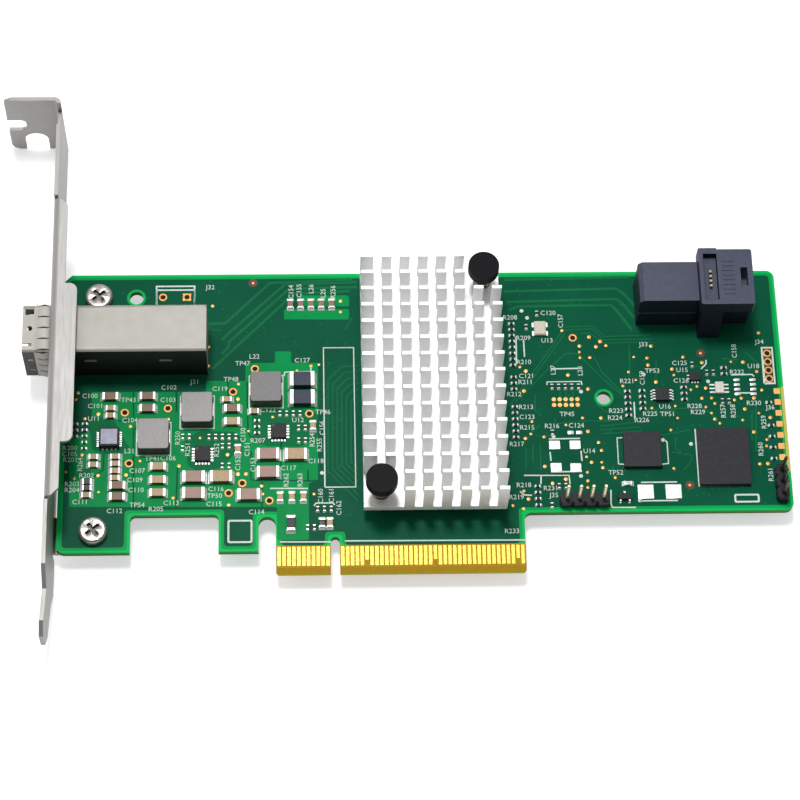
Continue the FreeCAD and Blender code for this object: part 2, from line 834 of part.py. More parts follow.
def make_sink():
    """Base with square fins left by cuts both ways, and two cleared corners for the push pins."""
    base = box((sink_left, sink_front, sink_seat), (sink_right, sink_back, sink_floor + fin_height))
    cuts = []
    top = sink_floor + fin_height
    columns = fin_columns()
    for before, after in zip(columns, columns[1:]):
        cuts.append(box((before[1], sink_front, sink_floor), (after[0], sink_back, top)))
    for index in range(fin_row_count - 1):
        y = sink_front + fin_thickness + index * fin_pitch_y
        cuts.append(box((sink_left, y, sink_floor), (sink_right, y + fin_pitch_y - fin_thickness, top)))
    left_clear = columns[cleared_column_count][0]
    right_clear = columns[-cleared_column_count - 1][1]
    clear_y = cleared_row_count * fin_pitch_y
    cuts.append(box((sink_left, sink_front, sink_floor), (left_clear, sink_front + clear_y, top)))
    cuts.append(box((right_clear, sink_back - clear_y, sink_floor), (sink_right, sink_back, top)))
    half = pin_stem_side / 2 + pin_hole_gap
    for x, y in pin_places:
        cuts.append(box((x - half, y - half, sink_seat), (x + half, y + half, sink_floor)))
    return [base.cut(cuts)]


def make_coil():
    """Spring wire bent in short straight runs that climb around Z."""
    run_count = spring_turn_count * spring_runs_per_turn_count
    rise = (pin_rise - 2 * spring_wire) / run_count
    corners = []
    for index in range(run_count + 1):
        turn = 2 * math.pi * index / spring_runs_per_turn_count
        corners.append(Vector(spring_radius * math.cos(turn), spring_radius * math.sin(turn), index * rise))
    ring = [(spring_radius + spring_wire, 0, 0), (spring_radius, spring_wire, 0),
            (spring_radius - spring_wire, 0, 0), (spring_radius, -spring_wire, 0)]
    section = outline(ring, lambda u, v: Vector(u, 0, v)).OuterWire
    mitred_corners = 1
    return Part.makePolygon(corners).makePipeShell([section], True, True, mitred_corners)


def make_push_pins():
    """Round heads on square stems that end in two barbed prongs, and the springs around the stems."""
    half = pin_stem_side / 2
    head_low = sink_floor + pin_rise
    barb_top = solder_face - pin_hole_gap / 2
    tip = barb_top - pin_barb_height
    pieces = [box((-half, -half, 0), (half, half, head_low))]
    prong = [(pin_split / 2, 0), (pin_split / 2, tip), (pin_tip_reach, tip),
             (pin_barb_reach, barb_top), (half, barb_top), (half, 0)]
    for side in (-1, 1):
        pieces.append(rail([(side * u, v, 0) for u, v in prong], -half, half))
    head = post(0, 0, head_low, head_low + pin_head_height, pin_head_radius)
    pin = head.fuse(pieces).removeSplitter()
    pins = []
    springs = []
    coil = make_coil()
    for x, y in pin_places:
        piece = pin.copy()
        piece.translate(Vector(x, y, 0))
        pins.append(piece)
        spring = coil.copy()
        spring.translate(Vector(x, y, sink_floor + spring_wire))
        springs.append(spring)
    return pins, springs


def make_controller():
    middle_x = (sink_left + sink_right) / 2
    middle_y = (sink_front + sink_back) / 2
    substrate = block((middle_x, middle_y), (chip_side, chip_side, chip_substrate))
    lid = block((middle_x, middle_y), (chip_lid_side, chip_lid_side, chip_substrate + chip_lid))
    pad = block((middle_x, middle_y), (pad_side, pad_side, pad_thickness))
    pad.translate(Vector(0, 0, chip_substrate + chip_lid))
    return [substrate.fuse(lid)], [pad]


def make_socket():
    """Moulded housing of the internal port: rear block, socket body, legs and overhanging hood."""
    skirt_low = hood_top - hood_skirt
    side = [(socket_left, 0, 0), (hood_left, 0, 0), (hood_left, socket_height, 0),
            (socket_left + socket_edge, socket_height, 0), (socket_left, socket_height - socket_edge, 0)]
    rear = rail(side, socket_low_side, socket_high_side)
    body = box((hood_left, socket_low_side, 0), (hood_right, socket_high_side, skirt_low))
    ledge = box((socket_left, socket_low_side - socket_ledge, 0), (hood_left, socket_low_side, socket_ledge_height))
    half = hood_width / 2
    hood_low_side = hood_middle - half
    hood_high_side = hood_middle + half
    hood = plate(cut_cornered((hood_left, hood_low_side), (hood_right, hood_high_side), hood_corner),
                 skirt_low, hood_top)
    rib = box((hood_left, hood_high_side - hood_wall, skirt_low),
              (hood_left + hood_rib_length, hood_high_side + hood_rib, hood_top))
    leg_left = hood_left + hood_leg_from_hood
    legs = []
    for outer, inner, flare in ((hood_low_side, socket_low_side, -hood_leg_flare),
                                (hood_high_side, socket_high_side, hood_leg_flare)):
        section = [(inner, 0, 0), (outer + flare, 0, 0), (outer, skirt_low, 0), (inner, skirt_low, 0)]
        legs.append(wall(section, leg_left, leg_left + hood_leg_length))
    housing = rear.fuse([ledge, body, hood, rib] + legs)
    mouth = box((hood_left, socket_low_side + socket_wall, socket_wall),
                (hood_right, socket_high_side - socket_wall, skirt_low - socket_roof))
    trough_left = hood_left + trough_from_hood
    trough_right = trough_left + trough_length
    half_latch = half - hood_wall
    latch = box((trough_right + hood_wall, hood_middle - half_latch, skirt_low),
                (hood_right, hood_middle + half_latch, hood_top - hood_wall))
    trough = box((trough_left, hood_middle - trough_width / 2, hood_top - trough_depth),
                 (trough_right, hood_middle + trough_width / 2, hood_top))
    window_right = hood_right - latch_window_from_end
    window_left = window_right - latch_window_length
    half_window = latch_window_width / 2
    window = box((window_left, hood_middle - half_window, hood_top - hood_wall),
                 (window_right, hood_middle + half_window, hood_top))
    housing = housing.cut([mouth, latch, trough, window]).removeSplitter()
    insert, strips = make_insert()
    tips = []
    tip_size = (trough_contact_side, trough_contact_side, trough_contact_height)
    for index in range(trough_contact_count):
        y = hood_middle + (index - (trough_contact_count - 1) / 2) * trough_contact_pitch
        tip = block((trough_left + trough_length / 2, y), tip_size)
        tip.translate(Vector(0, 0, hood_top - trough_depth))
        tips.append(tip)
    return [housing], insert, strips + tips


def make_insert():
    """Contact carrier inside the internal port, with two card slots open to the far end."""
    top = hood_top - hood_skirt - socket_roof
    side = socket_wall + insert_gap
    left = hood_left + insert_gap
    right = left + insert_length
    body = box((left, socket_low_side + side, socket_wall),
               (right, socket_high_side - side, top - insert_gap))
    middle = (socket_wall + top) / 2
    half = socket_width / 2 - side - card_slot_side_wall / 2
    slots = []
    for height in card_slots(middle):
        slots.append(box((right - insert_slot_depth, socket_middle - half, height - card_slot_height / 2),
                         (right, socket_middle + half, height + card_slot_height / 2)))
    start = right - insert_slot_depth
    count = int(2 * (half - port_contact_width) / port_contact_pitch)
    return [body.cut(slots)], slot_contacts(start, socket_middle, middle, insert_slot_depth, count)


def make_inductors():
    bodies = []
    terminals = []
    half = inductor_side / 2
    for x, y in from_left(inductor_places):
        low = (x - half + inductor_terminal, y - half)
        high = (x + half - inductor_terminal, y + half)
        bodies.append(plate(cut_cornered(low, high, inductor_corner), 0, inductor_height))
        for side in (-1, 1):
            inner = x + side * (half - inductor_terminal)
            outer = x + side * half
            terminals.append(box((min(inner, outer), y - inductor_terminal_width / 2, 0),
                                 (max(inner, outer), y + inductor_terminal_width / 2, inductor_height / 2)))
    return bodies, terminals


def make_interface_chip():
    """Small eight-lead package with gull-wing leads on its left and right."""
    x, y = from_right(interface_place)
    half = interface_side / 2
    top = interface_stand_off + interface_height
    body = box((x - half, y - half, interface_stand_off), (x + half, y + half, top))
    leads = []
    exit_height = interface_stand_off + interface_height / 2
    knee = interface_lead_reach - lead_foot
    path = [(0, exit_height), (knee, exit_height), (knee, 0), (interface_lead_reach, 0)]
    section = folded(path, lead_thickness, 0)
    for index in range(interface_lead_count):
        lead_y = y + (index - (interface_lead_count - 1) / 2) * interface_lead_pitch
        for side in (-1, 1):
            corners = [(x + side * (half + u), v, 0) for u, v, bend in section]
            leads.append(rail(corners, lead_y - lead_width / 2, lead_y + lead_width / 2))
    return [body], leads


def make_transistor():
    """Three-lead package: two leads to the front and one to the back."""
    x, y = from_right(transistor_place)
    length, width, height = transistor_size
    body = box((x - length / 2, y - width / 2, interface_stand_off),
               (x + length / 2, y + width / 2, height))
    leads = []
    exit_height = height / 2
    path = [(0, exit_height), (transistor_lead_bend, exit_height),
            (transistor_lead_bend, 0), (transistor_lead_reach, 0)]
    section = folded(path, lead_thickness, 0)
    half = transistor_lead_width / 2
    for shift, side in ((-transistor_lead_spread, -1), (transistor_lead_spread, -1), (0, 1)):
        corners = [(y + side * (width / 2 + u), v, 0) for u, v, bend in section]
        leads.append(wall(corners, x + shift - half, x + shift + half))
    return [body], leads


def make_oscillator():
    place = from_right(oscillator_place)
    length, width, height = oscillator_size
    can = block(place, (length, width, height - oscillator_lid))
    lid = block(place, (length - 2 * oscillator_lid_inset, width - 2 * oscillator_lid_inset, height))
    return [can.fuse(lid)]


def make_header(holes):
    """Header strip with notches between its pins, and its square pins."""
    bodies = []
    half = header_pitch / 2
    for x, y in holes:
        section = cut_cornered((x - half, y - half), (x + half, y + half), header_notch)
        bodies.append(plate(section, 0, header_pitch))
    body = bodies[0].fuse(bodies[1:]).removeSplitter()
    side = header_pin_side / 2
    bores = []
    pins = []
    for x, y in holes:
        low = (x - side, y - side, solder_face - header_tail)
        pins.append(box(low, (x + side, y + side, header_pin_rise)))
        bores.append(box((x - side, y - side, 0), (x + side, y + side, header_pitch)))
    return [body.cut(bores)], pins


def steps(start, end, pitch):
    """Evenly spaced values from start to end, in either direction."""
    count = round(abs(end - start) / pitch) + 1
    way = 1 if end > start else -1
    return [start + way * index * pitch for index in range(count)]


def tiny_left_places():
    """Tiny parts of the power section: (lying along X, lying along Y)."""
    lying = []
    upright = []
    for x, top, bottom in tiny_columns_left:
        lying += [(x, y) for y in steps(top, bottom, tiny_pitch)]
    for first, last, y in tiny_rows_left:
        upright += [(x, y) for x in steps(first, last, tiny_pitch)]
    return from_left(lying), from_left(upright)


def tiny_right_places():
    """Tiny parts between the heat sink and the far end: (lying along X, lying along Y)."""
    lying = []
    upright = []
    for top, bottom in tiny_columns_sink:
        lying += [(sink_right + tiny_from_sink, y) for y in steps(top, bottom, tiny_pitch)]
    for x, top, bottom in tiny_columns_right:
        lying += [(board_right - x, y) for y in steps(top, bottom, tiny_pitch)]
    for first, last, y in tiny_rows_right:
        upright += [(board_right - x, y) for x in steps(first, last, tiny_pitch)]
    for index in range(edge_resistor_count):
        y = edge_resistor_top - index * edge_resistor_pitch
        lying.append((board_right - edge_resistor_from_right, y))
    return lying, upright


def tiny_parts(places):
    """Chips too small to show their ends apart, some lying along X and some along Y."""
    lying, upright = places
    length, width, height = tiny_size
    parts = [block(place, (length, width, height)) for place in lying]
    return parts + [block(place, (width, length, height)) for place in upright]


def top_row_places():
    """Small parts in a row near the top edge."""
    y = board_height - top_row_from_top
    return [(left_end + top_row_left + index * top_row_pitch, y) for index in range(top_row_count)]


def save(name, solids):
    Part.makeCompound(solids).exportStep("parts/" + name + ".step")


def save_pair(name, other, pair):
    save(name, pair[0])
    save(other, pair[1])


def main():
    os.makedirs("parts", exist_ok=True)
    save("circuit_board", make_board())
    save("edge_contacts_front", make_contacts(0))
    save("edge_contacts_back", make_contacts(solder_face - contact_thickness))
    save("bracket", make_bracket())
    save("bracket_screws", make_screws())
    save("external_port_cage", make_cage())
    save("external_port_spring_collar", make_collar())
    save_pair("external_port_receptacle", "external_port_contacts", make_receptacle())
    save("heat_sink", make_sink())
    save_pair("push_pins", "push_pin_springs", make_push_pins())
    save_pair("controller_chip", "thermal_pad", make_controller())
    housing, insert, strips = make_socket()
    save("internal_port_housing", housing)
    save("internal_port_insert", insert)
    save("internal_port_contacts", strips)
    save_pair("power_inductors", "power_inductor_terminals", make_inductors())
    save("regulator_module", [block(from_left([module_place])[0], (module_side, module_side, module_height))])
    regulator = (regulator_side, regulator_side, regulator_height)
    save("regulator_chips", [block(place, regulator) for place in from_left(regulator_places)])
    moulded = (moulded_length, moulded_width, moulded_height, moulded_end)
    save_pair("moulded_capacitors", "moulded_capacitor_ends", chip_parts(from_left(moulded_places), moulded))
    save_pair("large_capacitors", "large_capacitor_ends", chip_parts(from_left(large_places), large_size))
    save_pair("medium_capacitors", "medium_capacitor_ends", chip_parts(from_left(medium_places), medium_size))
    lying = chip_parts(from_left(small_places), small_size)
    upright = chip_parts(from_left(small_upright_places) + top_row_places(), small_size, True)
    save_pair("small_capacitors", "small_capacitor_ends", [a + b for a, b in zip(lying, upright)])
    save_pair("chip_resistors", "chip_resistor_ends", chip_parts(from_left(resistor_places), small_size))
    save_pair("fuse", "fuse_ends", chip_parts(from_left([fuse_place]), medium_size, True))
    save("tiny_capacitors", tiny_parts(tiny_left_places()))
    save("tiny_resistors", tiny_parts(tiny_right_places()))
    save("flash_chip", [block(from_right(flash_place), (flash_side, flash_side, flash_height))])
    save("memory_chip", [block(from_right(memory_place), (memory_length, memory_width, memory_height))])
    save_pair("interface_chip", "interface_chip_leads", make_interface_chip())
    save("logic_chip", [block(from_right(logic_place), logic_size)])
    save("resonator", [block(from_right(resonator_place), resonator_size)])
    save("clock_oscillator", make_oscillator())
    save_pair("transistor", "transistor_leads", make_transistor())
    light = light_size + (light_end,)
    save_pair("status_light", "status_light_ends", chip_parts([from_right(light_place)], light))
    save_pair("pin_header_body", "pin_header_pins", make_header(row_header_holes))
    save_pair("edge_header_body", "edge_header_pins", make_header(edge_header_holes))


main()
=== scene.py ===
"""Looks of a storage host bus adapter card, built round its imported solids."""

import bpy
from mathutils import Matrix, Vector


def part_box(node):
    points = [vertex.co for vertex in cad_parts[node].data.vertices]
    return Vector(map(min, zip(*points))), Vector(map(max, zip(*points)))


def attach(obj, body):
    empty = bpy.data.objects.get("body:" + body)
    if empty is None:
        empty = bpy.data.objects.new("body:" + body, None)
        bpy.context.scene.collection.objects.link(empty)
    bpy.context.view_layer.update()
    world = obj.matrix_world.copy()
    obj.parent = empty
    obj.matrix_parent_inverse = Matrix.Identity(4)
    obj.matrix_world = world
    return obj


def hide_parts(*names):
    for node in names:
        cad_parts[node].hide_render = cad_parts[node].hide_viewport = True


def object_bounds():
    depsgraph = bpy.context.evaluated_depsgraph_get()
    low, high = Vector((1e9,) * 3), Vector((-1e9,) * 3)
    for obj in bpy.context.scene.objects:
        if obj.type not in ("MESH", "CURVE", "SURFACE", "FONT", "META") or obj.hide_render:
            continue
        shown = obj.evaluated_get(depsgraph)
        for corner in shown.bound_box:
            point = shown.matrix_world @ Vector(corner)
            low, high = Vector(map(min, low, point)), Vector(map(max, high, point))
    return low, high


bl_info = {
    "name": "Storage adapter card",
    "version": (1, 0, 0),
    "blender": (4, 5, 0),
    "location": "3D View > Sidebar > Card",
    "description": "Dresses the card's solids with its finishes, copper and print, and lights them",
    "category": "Object",
}

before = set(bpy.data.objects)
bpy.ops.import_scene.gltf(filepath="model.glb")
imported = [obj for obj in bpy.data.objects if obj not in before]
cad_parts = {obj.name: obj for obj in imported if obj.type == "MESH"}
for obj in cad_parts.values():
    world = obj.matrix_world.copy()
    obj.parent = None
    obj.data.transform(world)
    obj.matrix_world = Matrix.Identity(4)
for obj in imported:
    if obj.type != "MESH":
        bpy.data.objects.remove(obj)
CAD_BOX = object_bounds()

import math
import random
from types import SimpleNamespace

import bmesh
import bpy
from mathutils import Matrix, Vector

MM = 0.001
MERGE = 1e-6
ONE = (1.0, 1.0, 1.0)

# The camera, as the photograph was taken, in degrees and millimetres
VIEW_AZIMUTH = -4.493
VIEW_ELEVATION = 65.091
VIEW_ROLL = 3.583
VIEW_TARGET = Vector((13.988, 38.879, 0.0))
VIEW_DISTANCE = 576.575
VIEW_FOCAL_PIXELS = 2740.9
PHOTO_SIDE = 800
SENSOR = 36.0
CLIP_START = 0.01

# The studio: the sky's brightness against and along its bright way, the floor and the lamp
SKY_WAY = (-0.55, 0.7, 0.0)
SKY_FRONT = 0.2
SKY_BACK = 0.82
SKY_RANGE = (-0.3, 0.7)
FLOOR_SIDE = 6.0
FLOOR_LIFT = 0.5
LAMP_PLACE = (-0.06, 0.29, 1.0)
LAMP_SIZE = 0.18
LAMP_POWER = 5.2

# Angles in degrees: sharper edges are rounded or shown, and flatter ones are joined
SHARP = 35.0
SMOOTH = 50.0
LEVEL = 1.0

# How far up a face's normal points when the face counts as a top, and as a face of the board
TOP_FACING = 0.6
BOARD_FACING = 0.9

# A soft corner: the steps along its curve, and the share of a side that it may take
CORNER_STEPS = (0.0, 0.25, 0.5, 0.75, 1.0)
CORNER_SHARE = 0.45

# The values of a pattern between which a finish goes from smooth to rough
ROUGH_RANGE = (0.3, 0.7)

# Heights of the printed layers above the component face, in millimetres
BAND_TOP = 0.01
PLANE_TOP = 0.015
TRACE_TOP = 0.025
POUR_TOP = 0.03
GAP_TOP = 0.035
HOLE_BOTTOM_TOP = 0.045
PAD_TOP = 0.05
TINNED_TOP = 0.09
LEAD_TOP = 0.12
INK_TOP = 0.06
INK_LOW = 0.02

# The board's outline, in millimetres
BOARD_LOW, BOARD_HIGH = (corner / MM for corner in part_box("circuit_board"))
LEFT_LOWER_EDGE = 5.0
RIGHT_LOWER_EDGE = 13.0
TONGUE_LEFT = -12.15
TONGUE_RIGHT = 39.15
WIDE_CUT = (-42.15, -23.95, 13.2)
NARROW_CUT = (-15.75, -12.15, 12.6)
NOTCH = (0.95, 8.0)
CONTACT_ZONE_TOP = 6.2
RIM_MARGIN = 0.55
PLANE_MARGIN = 1.15
CORNER_ROUND = 0.9
PLAIN_HOLES = ((-41.75, 63.4), (57.0, 39.0))
PLAIN_HOLE_RING = 2.05
WALL_GREEN_LOW = -0.7
WALL_BROWN_HIGH = -1.3
SCREW_PLACES = ((-49.65, 9.5), (-49.65, 63.1))
SCREW_RING = 2.6
EDGE_STRIP = ((94.6, 22.0), (95.25, 21.6), (95.25, 41.4), (94.6, 41.0))

# Copper, vias and pads, in millimetres: a profile gives radius and height
POUR_ROUND = 0.4
POUR_GAP_WIDTH = 0.35
PATCH_ROUND = 0.6
COVERED_VIA = ((0.22, 0.0), (0.2, 0.03), (0.0, 0.04))
COVERED_VIA_CLEARANCE = 0.3
VIA = ((1.0, 0.0), (0.9, 0.05), (0.5, 0.07), (0.0, 0.075))
VIA_SPREAD = (0.72, 1.06)
VIA_SEED = 11
RING_INSIDE = ((0.0, 0.0), (0.0, 0.06), (0.08, 0.08))
RING_OUTSIDE = ((-0.1, 0.08), (0.0, 0.05), (0.0, 0.0))
FIDUCIAL_CLEAR = 0.95
FIDUCIAL_MIDDLE = 0.8
GOLD_PAD_EDGE = 0.02
TINNED_EDGE = 0.04
LEAD_ROUND = 0.06

# The fold along the top of the port cage, in millimetres
FOLD_RADIUS = 0.6
FOLD_STEPS = 4

# The spring tabs pressed out of the cage's front side: their left ends, width and cross-section
CAGE_TAB_LEFTS = (-51.8, -36.2)
CAGE_TAB_WIDTH = 2.6
CAGE_TAB_REACH = 0.4
CAGE_TAB_HEIGHTS = (7.5, 7.9)
CAGE_TAB_EDGE = 0.08

# The grip ribs on the internal port's hood, in millimetres
HOOD_RIBS = dict(x=83.2, first=56.6, pitch=1.1, count=8)
HOOD_RIB = (2.6, 0.4, 0.1)
HOOD_RIB_RISE = 0.12
HOOD_RIB_ROOT = 0.05
HOOD_RIB_EDGE = 0.05
# How dark the internal port housing's upright faces are painted, as painted shade
HOOD_SIDE_SHADE = 0.3

# The regulator module's lid, in millimetres
MODULE_RIM = 0.35
MODULE_GROOVE = 0.05

# The bracket screws, in millimetres and degrees
SCREW_HEAD_HEIGHT = 1.9
SCREW_HEAD_RIM = 1.3
SCREW_HEAD_FLAT = 2.4
SCREW_SHANK = 1.5
RECESS_REACH = 1.6
RECESS_WIDTH = 0.74
RECESS_DEPTH = 0.9
RECESS_ABOVE = 1.0
RECESS_TURN = 38.0
SCREW_TIP = 0.3
SCREW_SEAT_EDGE = 0.1
SCREW_EDGE = 0.05
SCREW_SHARP = 40.0
SCREW_BEND = range(0, 91, 15)

# The push pins' edges and springs, in millimetres and degrees
PUSH_PIN_SHARP = 28.0
SPRING_TURNS = 4
SPRING_STEPS = 24
SPRING_WIRE = 0.16

# Tinned ends and the parts that they belong to
CHIP_PART_ENDS = {"large_capacitor_ends": "large_capacitors", "medium_capacitor_ends": "medium_capacitors",
                  "small_capacitor_ends": "small_capacitors", "chip_resistor_ends": "chip_resistors",
                  "fuse_ends": "fuse"}
PART_ENDS = {**CHIP_PART_ENDS, "moulded_capacitor_ends": "moulded_capacitors",
             "status_light_ends": "status_light"}

# Chip parts, in millimetres: a fillet is seen from the side, with its toe at one and its height at one
FILLET = ((-0.6, 0.0), (1.0, 0.0), (1.0, 0.1), (0.62, 0.22), (0.3, 0.5), (0.12, 1.0), (-0.6, 1.0))
FILLET_EDGE = 0.06
FILLET_SHARP = 60.0
FILLET_REACH = 0.45
FILLET_SIDE = 0.12
FILLET_RISE = 0.6
TINY_NODES = ("tiny_capacitors", "tiny_resistors")
TINY_REACH = 0.18
TINY_SIDE = 0.06
TINY_END = 0.26
TINY_INSET = 0.03
TINY_EDGE = 0.05
# How dark the upright faces of the ceramic and moulded capacitors are painted, as painted shade
SIDE_SHADE = 0.22

# The ceramic of each size of capacitor, and the boxes in millimetres where it is another one
CAPACITOR_KINDS = {
    "large_capacitors": ("pink", (("tan", (-24.0, 20.0), (-23.0, 69.0)), ("tan", (-9.0, 0.0), (0.0, 69.0)))),
    "medium_capacitors": ("brown", (("tan", (-23.0, 0.0), (0.0, 35.5)),
                                    ("tan", (-38.0, 0.0), (-35.0, 69.0)))),
    "small_capacitors": ("tan", (("black", (-3.5, 10.0), (-2.0, 12.0)),
                                 ("brown", (-60.0, 55.0), (95.0, 69.0)))),
}

# The dimple beside a chip's first lead, in millimetres and as a share of the chip's width
DIMPLE = ((0.3, 0.0), (0.3, 0.01), (0.0, 0.01))
DIMPLE_INSET = 0.16
DIMPLE_SHADE = 1.7

# The solder round a header's pin, as radius and depth below the solder face, in millimetres
PIN_JOINT = ((0.85, 0.0), (0.8, 0.1), (0.5, 0.45), (0.4, 0.9), (0.0, 0.9))
PIN_FOOT_DEPTH = 0.2
PIN_FOOT_MARGIN = 0.01

# The slot of each solid's finished copy, and the rounding of its edges in millimetres and steps.
# A rounding of None is one of the sizes that a user may change.
DRESSING = {
    "edge_contacts_front": ("contact_gold", 0.02, 1),
    "edge_contacts_back": ("contact_gold", 0.02, 1),
    "bracket": ("bracket_steel", None, 2),
    "external_port_cage": ("cage_nickel", 0.09, 2),
    "external_port_spring_collar": ("cage_nickel", 0.03, 1),
    "external_port_receptacle": ("connector_black", 0.12, 2),
    "external_port_contacts": ("contact_gold", 0.05, 1),
    "heat_sink": ("sink_aluminium", None, 2),
    "thermal_pad": ("pad_grey", 0.05, 1),
    "controller_chip": ("chip_black", 0.1, 2),
    "push_pins": ("pin_black", 0.22, 3),
    "internal_port_housing": ("connector_black", None, 2),
    "internal_port_insert": ("connector_black", 0.1, 2),
    "internal_port_contacts": ("contact_gold", 0.05, 1),
    "power_inductors": ("inductor_grey", 0.22, 2),
    "power_inductor_terminals": ("solder_tin", 0.05, 1),
    "regulator_chips": ("chip_black", None, 2),
    "moulded_capacitors": ("chip_black", 0.25, 2),
    "moulded_capacitor_ends": ("solder_tin", 0.06, 1),
    "large_capacitors": ("capacitor_tan", 0.12, 2),
    "medium_capacitors": ("capacitor_tan", 0.1, 2),
    "small_capacitors": ("capacitor_tan", 0.08, 2),
    **{node: ("solder_tin", 0.06, 1) for node in CHIP_PART_ENDS},
    "chip_resistors": ("resistor_black", 0.05, 1),
    "fuse": ("fuse_ivory", 0.06, 1),
    "flash_chip": ("chip_black", None, 2),
    "memory_chip": ("chip_black", None, 2),
    "interface_chip": ("chip_black", None, 2),
    "logic_chip": ("chip_black", None, 2),
    "transistor": ("chip_black", None, 2),
    "interface_chip_leads": ("solder_tin", 0.03, 1),
    "transistor_leads": ("solder_tin", 0.03, 1),
    "status_light_ends": ("solder_tin", 0.03, 1),
    "resonator": ("ceramic_white", 0.08, 2),
    "clock_oscillator": ("oscillator_beige", 0.08, 2),
    "status_light": ("light_clear", 0.08, 2),
    "pin_header_body": ("header_black", 0.12, 2),
    "edge_header_body": ("header_black", 0.12, 2),
    "pin_header_pins": ("contact_gold", 0.12, 1),
    "edge_header_pins": ("contact_gold", 0.12, 1),
}


# Selecting, joining and handing over

def take(piece):
    """Leaves one piece selected and active."""
    bpy.ops.object.select_all(action="DESELECT")
    piece.select_set(True)
    bpy.context.view_layer.objects.active = piece


def linked(name, data):
    """A new object that holds some data, taken."""
    piece = bpy.data.objects.new(name, data)
    bpy.context.scene.collection.objects.link(piece)
    take(piece)
    return piece


def settled(piece):
    """The piece at the origin, unturned and unscaled, with its place in its mesh."""
    take(piece)
    bpy.ops.object.transform_apply(location=True, rotation=True, scale=True)
    return piece


def closed(piece):
    """The piece with its doubles merged and its faces outward."""
    take(piece)
    bpy.ops.object.mode_set(mode="EDIT")
    bpy.ops.mesh.select_all(action="SELECT")
    bpy.ops.mesh.remove_doubles(threshold=MERGE)
    bpy.ops.mesh.normals_make_consistent(inside=False)
    bpy.ops.object.mode_set(mode="OBJECT")
    return piece


def joined(pieces, name):
    """Several pieces as one."""
    bpy.ops.object.select_all(action="DESELECT")
    for piece in pieces:
        piece.select_set(True)
    bpy.context.view_layer.objects.active = pieces[0]
    if len(pieces) > 1:
        bpy.ops.object.join()
    whole = bpy.context.view_layer.objects.active
    whole.name = name
    whole.data.name = name
    return settled(whole)


def applied(piece, kind, **settings):
    """The piece with one modifier added and applied."""
    take(piece)
    modifier = piece.modifiers.new(kind.title(), kind)
    for key, value in settings.items():
        setattr(modifier, key, value)
    bpy.ops.object.modifier_apply(modifier=modifier.name)
    return piece


def softened(piece, width, segments=2, sharp=SHARP):
    """The piece with its sharp edges rounded by a width in millimetres."""
    applied(piece, "BEVEL", width=width * MM, segments=segments, limit_method="ANGLE",
            angle_limit=math.radians(sharp), use_clamp_overlap=True, loop_slide=False)
    bpy.ops.object.shade_smooth_by_angle(angle=math.radians(sharp))
    return applied(piece, "WEIGHTED_NORMAL", keep_sharp=True)


def handed_over(piece, materials, nodes=()):
    """The piece with its materials, riding on the card and standing for some solids."""
    for material in materials:
        if material.name not in piece.data.materials:
            piece.data.materials.append(material)
    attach(piece, "root")
    for node in nodes:
        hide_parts(node)
    return piece


def node_copy(node, name):
    """A copy of a solid's mesh, merged and with its flat faces joined."""
    piece = linked(name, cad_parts[node].data.copy())
    piece.data.materials.clear()
    if piece.data.has_custom_normals:
        bpy.ops.mesh.customdata_custom_splitnormals_clear()
    bpy.ops.object.mode_set(mode="EDIT")
    bpy.ops.mesh.select_all(action="SELECT")
    bpy.ops.mesh.remove_doubles(threshold=MERGE)
    bpy.ops.mesh.dissolve_limited(angle_limit=math.radians(LEVEL))
    bpy.ops.object.mode_set(mode="OBJECT")
    return piece


def dressed(node, material, width=None, sharp=SHARP, form=None):
    """A copy of a solid with rounded edges, standing for it, and formed first where a form is given."""
    slot, usual_width, segments = DRESSING[node]
    piece = node_copy(node, node + "_finished")
    if form:
        form(piece)
    softened(piece, width or usual_width, segments, sharp)
    return handed_over(piece, [material], [node])


def folded(piece):
    """The piece with the long edges of its level top rounded as its sheet was folded."""
    high = max(vertex.co.z for vertex in piece.data.vertices) - MERGE
    top = [vertex.co.y for vertex in piece.data.vertices if vertex.co.z > high]
    take(piece)
    bpy.ops.object.mode_set(mode="EDIT")
    bpy.ops.mesh.select_mode(type="EDGE")
    bpy.ops.mesh.select_all(action="DESELECT")
    bpy.ops.object.mode_set(mode="OBJECT")
    for edge in piece.data.edges:
        ends = [piece.data.vertices[index].co for index in edge.vertices]
        edge.select = any(all(end.z > high and abs(end.y - side) < MERGE for end in ends)
                          for side in (min(top), max(top)))
    bpy.ops.object.mode_set(mode="EDIT")
    bpy.ops.mesh.bevel(offset=FOLD_RADIUS * MM, segments=FOLD_STEPS, affect="EDGES", clamp_overlap=False)
    bpy.ops.object.mode_set(mode="OBJECT")
    return piece


def with_painted_side_shade(piece, side_material, front_only=False):
    """The piece with painted shade: its upright faces, or only those to the front, in a second, darker
    material.
    """
    piece.data.materials.append(side_material)
    last = len(piece.data.materials) - 1
    for face in piece.data.polygons:
        if face.normal.z < TOP_FACING and not (front_only and face.normal.y > -TOP_FACING):
            face.material_index = last
    return piece


def solid_boxes(node):
    """The low and high corners in millimetres of each separate solid in a node."""
    work = bmesh.new()
    work.from_mesh(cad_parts[node].data)
    bmesh.ops.remove_doubles(work, verts=work.verts, dist=MERGE)
    work.verts.ensure_lookup_table()
    unseen = set(range(len(work.verts)))
    boxes = []
    while unseen:
        front = [min(unseen)]
        unseen.discard(front[0])
        found = []
        while front:
            vertex = work.verts[front.pop()]
            found.append(vertex.co / MM)
            for edge in vertex.link_edges:
                other = edge.other_vert(vertex).index
                if other in unseen:
                    unseen.discard(other)
                    front.append(other)
        low = Vector(min(point[axis] for point in found) for axis in range(3))
        high = Vector(max(point[axis] for point in found) for axis in range(3))
        boxes.append((low, high))
    work.free()
    return sorted(boxes, key=lambda corners: tuple(round(value, 2) for value in corners[0]))


# Shapes in millimetres

